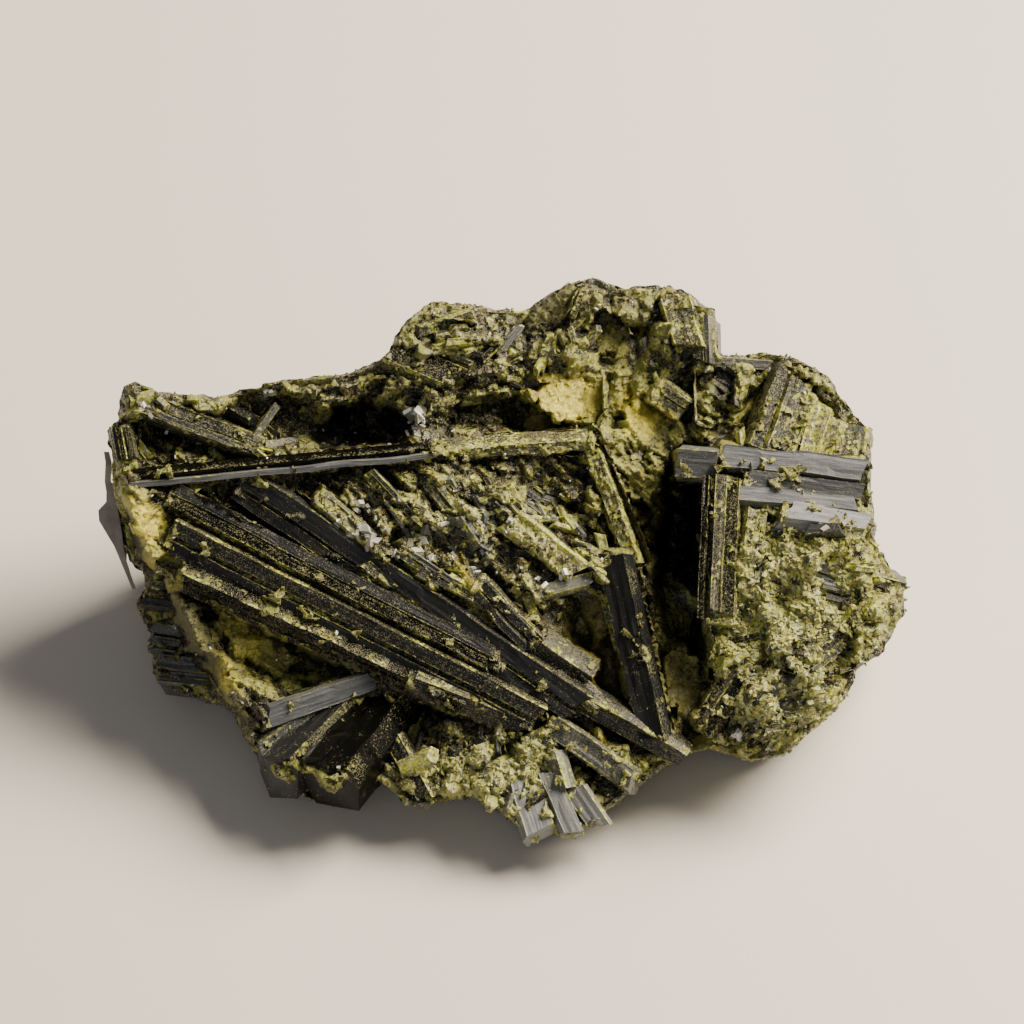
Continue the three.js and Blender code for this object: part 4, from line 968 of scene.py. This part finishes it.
def show_face(material):
    """The show face as a height field: the points of its grid lifted by its smooth form and its relief, and
    rounded down at the outline. It is cut into a left and a right half, each closed by its own skirt. Also
    gives its points and what each is made of, for the grains."""
    across, up, table = face_grid()
    gap = table.ravel()
    rough = 1 - patches(across, up, SMOOTHS)
    form, held = smooth_form(across, up, table)
    relief, tone = broken_relief(across, up, rough, held)
    lift = form + relief + FACE_RAISE - EDGE_DROP * (1 - smoothstep(-gap, 0, EDGE_DROP)) ** 2
    zones = face_zones(across, up, lift.reshape(table.shape), tone)
    points = on_face(across, up, lift)
    index = np.arange(len(across)).reshape(table.shape)
    inside = table < 0.75 * FACE_STEP
    whole = inside[:-1, :-1] & inside[:-1, 1:] & inside[1:, 1:] & inside[1:, :-1]
    centre = table.shape[1] // 2
    pieces = []
    for name, columns in (("show_face_left", slice(0, centre)), ("show_face_right", slice(centre, None))):
        taken = np.zeros(whole.shape, bool)
        taken[:, columns] = whole[:, columns]
        pieces.append(closed_sheet(name, points, grid_triangles(index, taken), zones, material))
    faces = grid_triangles(index, whole)
    normals = normals_of(points, faces)
    kept = np.unique(faces)
    return pieces, {
        "points": points[kept], "normals": normals[kept], "across": across[kept], "up": up[kept],
        "edge": gap[kept], "rough": rough[kept],
        **{label: zones[label][kept] for label in zones},
    }


def closed_sheet(name, points, faces, zones, material):
    """A piece of the show face made solid: from its border a skirt goes back, drawn a little inward, and from
    there on to one point deep inside."""
    edges = np.concatenate([faces[:, [0, 1]], faces[:, [1, 2]], faces[:, [2, 0]]])
    ways = edges[:, 0].astype(np.int64) * len(points) + edges[:, 1]
    back = edges[:, 1].astype(np.int64) * len(points) + edges[:, 0]
    border = edges[~np.isin(ways, back)]
    ring = np.unique(border)
    laid = laid_out(points[ring])
    skirt = place(laid[:, 0] * (1 - SKIRT_DRAW), laid[:, 1] * (1 - SKIRT_DRAW), laid[:, 2] - SKIRT_DEPTH)
    skirt[:, 2] = np.maximum(skirt[:, 2], SKIRT_LOWEST)
    low = np.full(len(points), -1)
    low[ring] = len(points) + np.arange(len(ring))
    deep = len(points) + len(ring)
    p, q = border[:, 0], border[:, 1]
    sides = np.concatenate([
        np.stack([q, p, low[p]], -1),
        np.stack([q, low[p], low[q]], -1),
        np.stack([low[q], low[p], np.full(len(p), deep)], -1),
    ])
    middle = place(laid[:, 0].mean(), 0, SKIRT_MIDDLE)[None]
    whole = np.concatenate([points, skirt, middle])
    used = np.unique(np.concatenate([faces.ravel(), sides.ravel()]))
    renumber = np.zeros(len(whole), int)
    renumber[used] = np.arange(len(used))
    hidden = np.zeros(len(ring) + 1)
    attributes = {label: np.concatenate([values, hidden])[used] for label, values in zones.items()}
    return mesh_piece(name, whole[used], renumber[np.concatenate([faces, sides])], material, attributes)


def blurred(table, reach):
    """A table of heights smoothed by a bell of the given reach in cells, along its rows and its columns."""
    offsets = np.arange(-int(3 * reach), int(3 * reach) + 1)
    bell = np.exp(-0.5 * (offsets / reach) ** 2)
    bell = bell / bell.sum()
    wide = np.pad(table, int(3 * reach), mode="edge")
    rows = np.apply_along_axis(np.convolve, 1, wide, bell, mode="valid")
    return np.apply_along_axis(np.convolve, 0, rows, bell, mode="valid")


def normals_of(points, faces):
    """A unit normal for each point: the sum of the cross products of the faces round it."""
    corner = points[faces]
    cross = np.cross(corner[:, 1] - corner[:, 0], corner[:, 2] - corner[:, 0])
    total = np.zeros(points.shape)
    for k in range(3):
        np.add.at(total, faces[:, k], cross)
    return total / np.maximum(np.linalg.norm(total, axis=1), 1e-12)[:, None]


def even_mesh(node):
    """The points in mm and the triangles of a solid, remeshed into small faces of an even size, because the
    solid has no grid of its own."""
    piece = bpy.data.objects.new("even", node.data.copy())
    bpy.context.scene.collection.objects.link(piece)
    piece.data.materials.clear()
    remesh = piece.modifiers.new("remesh", "REMESH")
    remesh.mode = "VOXEL"
    remesh.voxel_size = BODY_VOXEL * MM
    evaluated = piece.evaluated_get(bpy.context.evaluated_depsgraph_get())
    even = bpy.data.meshes.new_from_object(evaluated)
    bpy.data.objects.remove(piece)
    even.calc_loop_triangles()
    points = np.zeros(3 * len(even.vertices), np.float32)
    even.vertices.foreach_get("co", points)
    faces = np.zeros(3 * len(even.loop_triangles), np.int32)
    even.loop_triangles.foreach_get("vertices", faces)
    bpy.data.meshes.remove(even)
    return points.reshape(-1, 3).astype(float) / MM, faces.reshape(-1, 3)


def rough_body(material):
    """The rest of the mass: the solid's own form in even small faces, roughened by facets along its normals,
    and drawn back behind the show face and out of its clearings. It keeps its level base."""
    points, faces = even_mesh(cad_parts["epidote_cluster"])
    normals = normals_of(points, faces)
    u = points[:, 0] + 0.7 * points[:, 1]
    v = points[:, 2] - 0.6 * points[:, 1]
    broad, tone = facets(u, v, 2.4, 0.35, 0.25, 91)
    bump = broad + facets(u, v, 1.2, 0.18, 0.2, 95)[0] + 0.1 * ripple(u, v, 0.9, 97)
    laid = laid_out(points)
    gap = edge_distance(laid[:, 0], laid[:, 1])
    shown = smoothstep(normals @ TOWARD, 0.05, 0.35) * (1 - smoothstep(gap, -1.2, 0.2))
    bump = np.minimum(bump, 0.25) * (1 - shown)
    standing = smoothstep(points[:, 2], 0.15, 1.0)
    sink = (BODY_SINK + BODY_SINK_INSIDE * smoothstep(-gap, 1.2, 3.0)) * shown
    for _, at, half, turn, fall in CLEARINGS:
        cleared = within(laid[:, 0], laid[:, 1], at, half, turn)
        sink = sink + fall * cleared * smoothstep(normals @ TOWARD, -0.1, 0.2)
    points = points + normals * (bump * standing)[:, None] - TOWARD * (sink * standing)[:, None]
    points[:, 2] = np.maximum(points[:, 2], 0)
    patch = ripple(u, v, 7, 98)
    attributes = {
        "coat": 0.5 + 0.25 * patch,
        "powder": 0.25 * smoothstep(ripple(u, v, 5, 99), 0.5, 0.8),
        "tan": 0.35 * smoothstep(ripple(u, v, 9, 100), 0.1, 0.6),
        "dark": np.zeros(len(points)),
        "tone": tone,
        "pale": np.full(len(points), 0.3),
    }
    made = mesh_piece("rough_body", points, faces, material, attributes)
    return made, {"points": points, "normals": normals, "shown": shown, **attributes}


def crystal_axes(start, end, roll):
    """The length of the axis between two points, and three unit directions: along it, square to it toward the
    eye, and sideways, the last two turned about it by the roll."""
    axis = end - start
    length = np.linalg.norm(axis)
    axis = axis / length
    near = TOWARD - axis * (TOWARD @ axis)
    near = near / np.linalg.norm(near)
    side = np.cross(near, axis)
    turn = math.radians(roll)
    near, side = near * math.cos(turn) - side * math.sin(turn), side * math.cos(turn) + near * math.sin(turn)
    return length, axis, near, side


def tube_faces(stations, count):
    """The triangles of a closed tube: rings of count points one after the other, and after the last of them
    the middle points of the first and the last ring."""
    ring, point = np.meshgrid(np.arange(stations), np.arange(count), indexing="ij")
    a = ring * count + point
    b = ring * count + (point + 1) % count
    sides = np.concatenate([np.stack([a, b, b + count], -1).reshape(-1, 3),
                            np.stack([a, b + count, a + count], -1).reshape(-1, 3)])
    top = stations * count
    first, last = top + count, top + count + 1
    ends = np.arange(count)
    onward = (ends + 1) % count
    caps = np.concatenate([np.stack([np.full(count, first), onward, ends], -1),
                           np.stack([np.full(count, last), top + ends, top + onward], -1)])
    return np.concatenate([sides, caps])


def lath(start, end, breadth, thickness, roll, slopes, seed, steps=None):
    """One crystal between two points: a flattened hexagon with a stepped near side, carried along the axis.
    Along it the near side is chipped by steps of chance, the section tapers a little, and the two end
    sections are sheared by their slopes. Returns points and faces, and for each point the mm along and round
    the crystal and how near it is to an edge."""
    length, axis, near, side = crystal_axes(start, end, roll)
    share = np.array([0.38, 0.33, 0.2, 0.07, -0.07, -0.2, -0.33, -0.38])
    corner = np.array([1.0, 0.15, 0, 0, 0, 0, 0.15, 1.0])
    depth = 0.03 * breadth * chance(np.arange(8), seed, 2) * (1 - corner)
    corners = section_corners(breadth, thickness)
    s = np.concatenate([corners[:1, 0], breadth * share, corners[3:, 0]])
    t = np.concatenate([corners[:1, 1], thickness / 2 - depth, corners[3:, 1]])
    brink = np.concatenate([[0.2], corner, [0.2, 0, 0]])
    stations = steps or int(np.clip(length / 0.9, 3, 40))
    count = len(s)
    part = np.linspace(0, 1, stations + 1)[:, None]
    along = part * length
    size = 1 - 0.07 * part
    column = np.arange(count)[None, :]
    wear = np.where(chance(np.floor(along / 4.3), np.floor(column / 3), seed + 3) > 0.85, 0.14, 0)
    wear = wear + 0.04 * chance(np.floor(along / 2.2), column, seed + 4) ** 2
    uneven = 1 - 0.10 * chance(np.floor(along / 2.7), np.sign(s)[None, :], seed + 5)
    aside = s[None, :] * size * uneven + 0.10 * ripple(along, 0 * along + seed, 5.0, 8)
    lift = t[None, :] * size - np.where((t > 0)[None, :], wear, 0)
    shear = np.zeros((stations + 1, count))
    shear[0] = slopes[0] * (s + 0.6 * t)
    shear[-1] = slopes[1] * (s + 0.6 * t)
    points = start + (along + shear)[..., None] * axis + aside[..., None] * side + lift[..., None] * near
    middle = points[0].mean(0), points[-1].mean(0)
    points = np.concatenate([points.reshape(-1, 3), middle])
    girth = np.concatenate([[0], np.cumsum(np.hypot(np.diff(s), np.diff(t)))])
    lay = np.concatenate([np.broadcast_to(girth, (stations + 1, count)).ravel(), [0, 0]])
    run = np.concatenate([np.broadcast_to(along, (stations + 1, count)).ravel(), [0, length]])
    held = 0.35 + 0.65 * (chance(np.floor(along / 3.1), column // 5, seed + 7) > 0.4)
    brink = np.concatenate([(brink[None, :] * held).ravel(), [0, 0]])
    # each crystal's striae start at their own place in the pattern
    run = run + 37.0 * chance(seed, 1, 6)
    lay = lay + 11.0 * chance(seed, 2, 6)
    return points, tube_faces(stations, count), run, lay, brink


def large_crystals(material):
    """The named crystals, each a row of laths that share its axis: they divide its breadth unevenly, start
    and stop at staggered places, and stand a little higher or lower than each other. The broken ends get more
    painted silver sheen than the sides, a painted reflection on the end faces, and the edges carry more coat."""
    heap = Heap()
    for number, prism in enumerate(PRISMS + lobe_ribs()):
        _, start, end, (breadth, thickness), roll, slopes, laths, tone, coat = prism
        first, last = on_face(*start), on_face(*end)
        length, axis, near, side = crystal_axes(first, last, roll)
        widths = 0.5 + chance(np.arange(laths), number, 21)
        edges = np.concatenate([[0], np.cumsum(widths)]) / widths.sum() - 0.5
        for k in range(laths):
            seed = 17 * number + k
            # a lath is wider than its share of the breadth, so that neighbours meet
            wide = breadth * (edges[k + 1] - edges[k]) * 1.15
            high = 0.7 * (chance(seed, 3, 22) - 0.6) if laths > 1 else 0.05
            # one in five is broken off early
            broken = 0.25 * length * (chance(seed, 8, 22) > 0.8) * chance(seed, 9, 22)
            short = (0.9 * chance(seed, 4, 22), broken + 1.3 * chance(seed, 5, 22)) if laths > 1 else (0, 0)
            shift = side * breadth * (edges[k] + edges[k + 1]) / 2 + near * high
            tilt = 14.0 * (chance(seed, 6, 22) - 0.5)
            points, faces, along, aside, brink = lath(first + shift + axis * short[0],
                                                      last + shift - axis * short[1],
                                                      wide, thickness, roll + tilt, slopes, seed)
            # each lath's share of painted silver sheen; the two end middles get more, as painted light on the
            # end faces
            sheen_shares = np.full(len(points), tone + 0.2 * (chance(seed, 7, 22) - 0.5))
            sheen_shares[-2:] += 0.3
            heap.add(points, faces, along=along, aside=aside, tone=np.clip(sheen_shares, 0, 1),
                     coat=np.clip(coat + 0.35 * brink + 0.2 * (chance(seed, 10, 22) - 0.5), 0, 1))
    return heap.piece("large_crystals", material)


def small_crystals(material):
    """The druses' crystals: laths of few stations at chance places in each druse's ellipse, more than half
    sunk in the face, near the druse's usual direction."""
    heap = Heap()
    for seed, (at, half, count, turn, coat, gray) in enumerate(DRUSES):
        for n in range(count):
            far = math.sqrt(chance(n, seed, 2))
            bearing = 2 * math.pi * chance(n, seed, 1)
            across = at[0] + half[0] * far * math.cos(bearing)
            up = at[1] + half[1] * far * math.sin(bearing)
            size = chance(n, seed, 3) ** 2
            length = DRUSE_LENGTH[0] + (DRUSE_LENGTH[1] - DRUSE_LENGTH[0]) * size
            if edge_distance(np.array(across), np.array(up)) > -0.45 * length:
                continue
            breadth = DRUSE_BREADTH[0] + (DRUSE_BREADTH[1] - DRUSE_BREADTH[0]) * size * chance(n, seed, 4)
            heading = math.radians(turn + 80 * (chance(n, seed, 5) - 0.5))
            reach = length / 2
            dip = 0.5 * length * (chance(n, seed, 6) - 0.5)
            lift = float(face_lift(np.array(across), np.array(up))) - 0.3 * breadth
            ends = [on_face(across + way * reach * math.cos(heading), up + way * reach * math.sin(heading),
                            lift + way * dip) for way in (-1, 1)]
            points, faces, along, aside, brink = lath(ends[0], ends[1], breadth, 1.4 * breadth,
                                                      90 * chance(n, seed, 7) - 45, (0.4, -0.4),
                                                      1000 + 300 * seed + n, 3)
            tone = gray * (0.1 + 0.9 * chance(n, seed, 8) ** 3)
            heap.add(points, faces, along=along, aside=aside, tone=tone,
                     coat=np.clip(coat * 1.4 * chance(n, seed, 9) + 0.3 * brink, 0, 1))
    return heap.piece("small_crystals", material)


# A grain is a box, sunk into the surface by this share of its breadth
GRAIN_SINK = 0.25
GRAIN_CORNERS = np.array([
    (-1, -1, -1), (1, -1, -1), (1, 1, -1), (-1, 1, -1), (-1, -1, 1), (1, -1, 1), (1, 1, 1), (-1, 1, 1),
], float)
GRAIN_FACES = np.array([
    (0, 2, 1), (0, 3, 2), (4, 5, 6), (4, 6, 7), (0, 1, 5), (0, 5, 4),
    (1, 2, 6), (1, 6, 5), (2, 3, 7), (2, 7, 6), (3, 0, 4), (3, 4, 7),
])


def grains(name, material, spots, normals, length, breadth, attributes):
    """Many small blocky crystals as one mesh: a box for each spot, tapered and skewed by chance, turned by
    chance but leaning along the surface, scaled to its length and breadth, and sunk a little."""
    count = len(spots)
    lean = RANDOM.normal(size=(count, 3))
    along = lean - normals * (lean * normals).sum(1, keepdims=True) * RANDOM.uniform(0.1, 1.0, (count, 1))
    along = along / np.linalg.norm(along, axis=1, keepdims=True)
    other = RANDOM.normal(size=(count, 3))
    side = np.cross(along, other)
    side = side / np.linalg.norm(side, axis=1, keepdims=True)
    third = np.cross(along, side)
    shape = np.broadcast_to(GRAIN_CORNERS, (count, 8, 3)).copy()
    shape[:, :, 1:] *= RANDOM.uniform(0.55, 1.0, (count, 8, 1))
    shape[:, :, 0] += shape[:, :, 1] * RANDOM.uniform(-0.8, 0.8, (count, 1)) * (breadth / length)[:, None]
    half = np.stack([length, breadth, breadth * RANDOM.uniform(0.6, 1.0, count)], -1) / 2
    axes = np.stack([along, side, third], 1)
    points = spots[:, None, :] + np.einsum("nkc,ncd->nkd", shape * half[:, None, :], axes)
    points = points + (normals * (0.5 - GRAIN_SINK) * breadth[:, None])[:, None, :]
    faces = (np.arange(count)[:, None, None] * 8 + GRAIN_FACES[None]).reshape(-1, 3)
    repeated = {label: np.repeat(values, 8) for label, values in attributes.items()}
    piece = mesh_piece(name, points.reshape(-1, 3), faces, material, repeated)


def coarseness(face):
    """How much longer the grains are than usual at each point of the show face."""
    return 0.5 * patches(face["across"], face["up"], COARSE)


def crumbs(name, face, body, material, on_show, elsewhere, size, weight):
    """Grains of the mass's own kind: so many on the show face, picked by weight, and so many elsewhere on the
    body. Each takes the patches of its place, a coat close to its place's, and its own tone."""
    outer = (1 - body["shown"]) * (body["points"][:, 2] > 0.9)
    picks = RANDOM.choice(len(weight), on_show, p=weight / weight.sum())
    others = RANDOM.choice(len(outer), elsewhere, p=outer / outer.sum())
    join = {label: np.concatenate([face[label][picks], body[label][others]])
            for label in ("points", "normals", "coat", "powder", "tan", "dark", "pale")}
    count = len(picks) + len(others)
    length = size * np.exp(RANDOM.normal(0, 0.4, count)).clip(0.4, 2.4)
    length[:on_show] *= 1 + coarseness(face)[picks]
    breadth = length * RANDOM.uniform(0.35, 0.85, count)
    attributes = {label: join[label] for label in ("powder", "tan", "pale")}
    # the grains take part of their place's dark patches and painted shade
    attributes["dark"] = 0.6 * join["dark"]
    attributes["coat"] = (join["coat"] + RANDOM.normal(0, 0.12, count)).clip(0, 1)
    attributes["tone"] = RANDOM.uniform(0, 1, count)
    grains(name, material, join["points"], join["normals"], length, breadth, attributes)


def clear_grains(face, weight):
    """Small clear crystals: some all over the show face, and larger ones in the named glinting places."""
    picks = RANDOM.choice(len(weight), USUAL_GLINTS, p=weight / weight.sum())
    for at, half, count in GLINTS:
        near = weight * within(face["across"], face["up"], at, half, 0)
        picks = np.concatenate([picks, RANDOM.choice(len(near), count, p=near / near.sum())])
    length = 0.26 * np.exp(RANDOM.normal(0, 0.4, len(picks))).clip(0.4, 2.6)
    length[USUAL_GLINTS:] *= 2.6
    breadth = length * RANDOM.uniform(0.5, 0.95, len(picks))
    grains("clear_grains", clear_epidote_and_painted_glint(), face["points"][picks], face["normals"][picks], length, breadth,
           {"tint": RANDOM.uniform(0.2, 1, len(picks))})


def scatter(face, body, material):
    """The loose-looking grains: coarse crumbs of crust where the face is coarse and coated, fine ones all
    over, and clear ones where it isn't tan. They keep off the outline, smooth places, powder, and dark
    patches and painted shade."""
    inner = (face["edge"] < -0.3) * (0.12 + face["rough"])
    inner = inner * (1 - 0.9 * face["powder"]) * (1 - 0.6 * face["dark"])
    crusty = inner * coarseness(face) * (0.4 + face["coat"])
    crumbs("crust_grains", face, body, material, 4600, 1200, 0.27, crusty)
    crumbs("fine_grains", face, body, material, 3500, 3500, 0.2, inner)
    clear_grains(face, inner * (0.3 + face["coat"]) * (1 - face["tan"]))


def dress_label(material):
    """The scrap of label keeps its own solid, with worn paper on it."""
    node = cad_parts["label_slip"]
    node.data.materials.clear()
    node.data.materials.append(material)


camera()
studio()
mass = granular_epidote()
crystal = glassy_epidote()
face_pieces, face = show_face(mass)
body_piece, body = rough_body(mass)
for piece in (*face_pieces, body_piece, large_crystals(crystal), small_crystals(crystal)):
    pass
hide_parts("epidote_cluster")
scatter(face, body, mass)
dress_label(worn_paper())
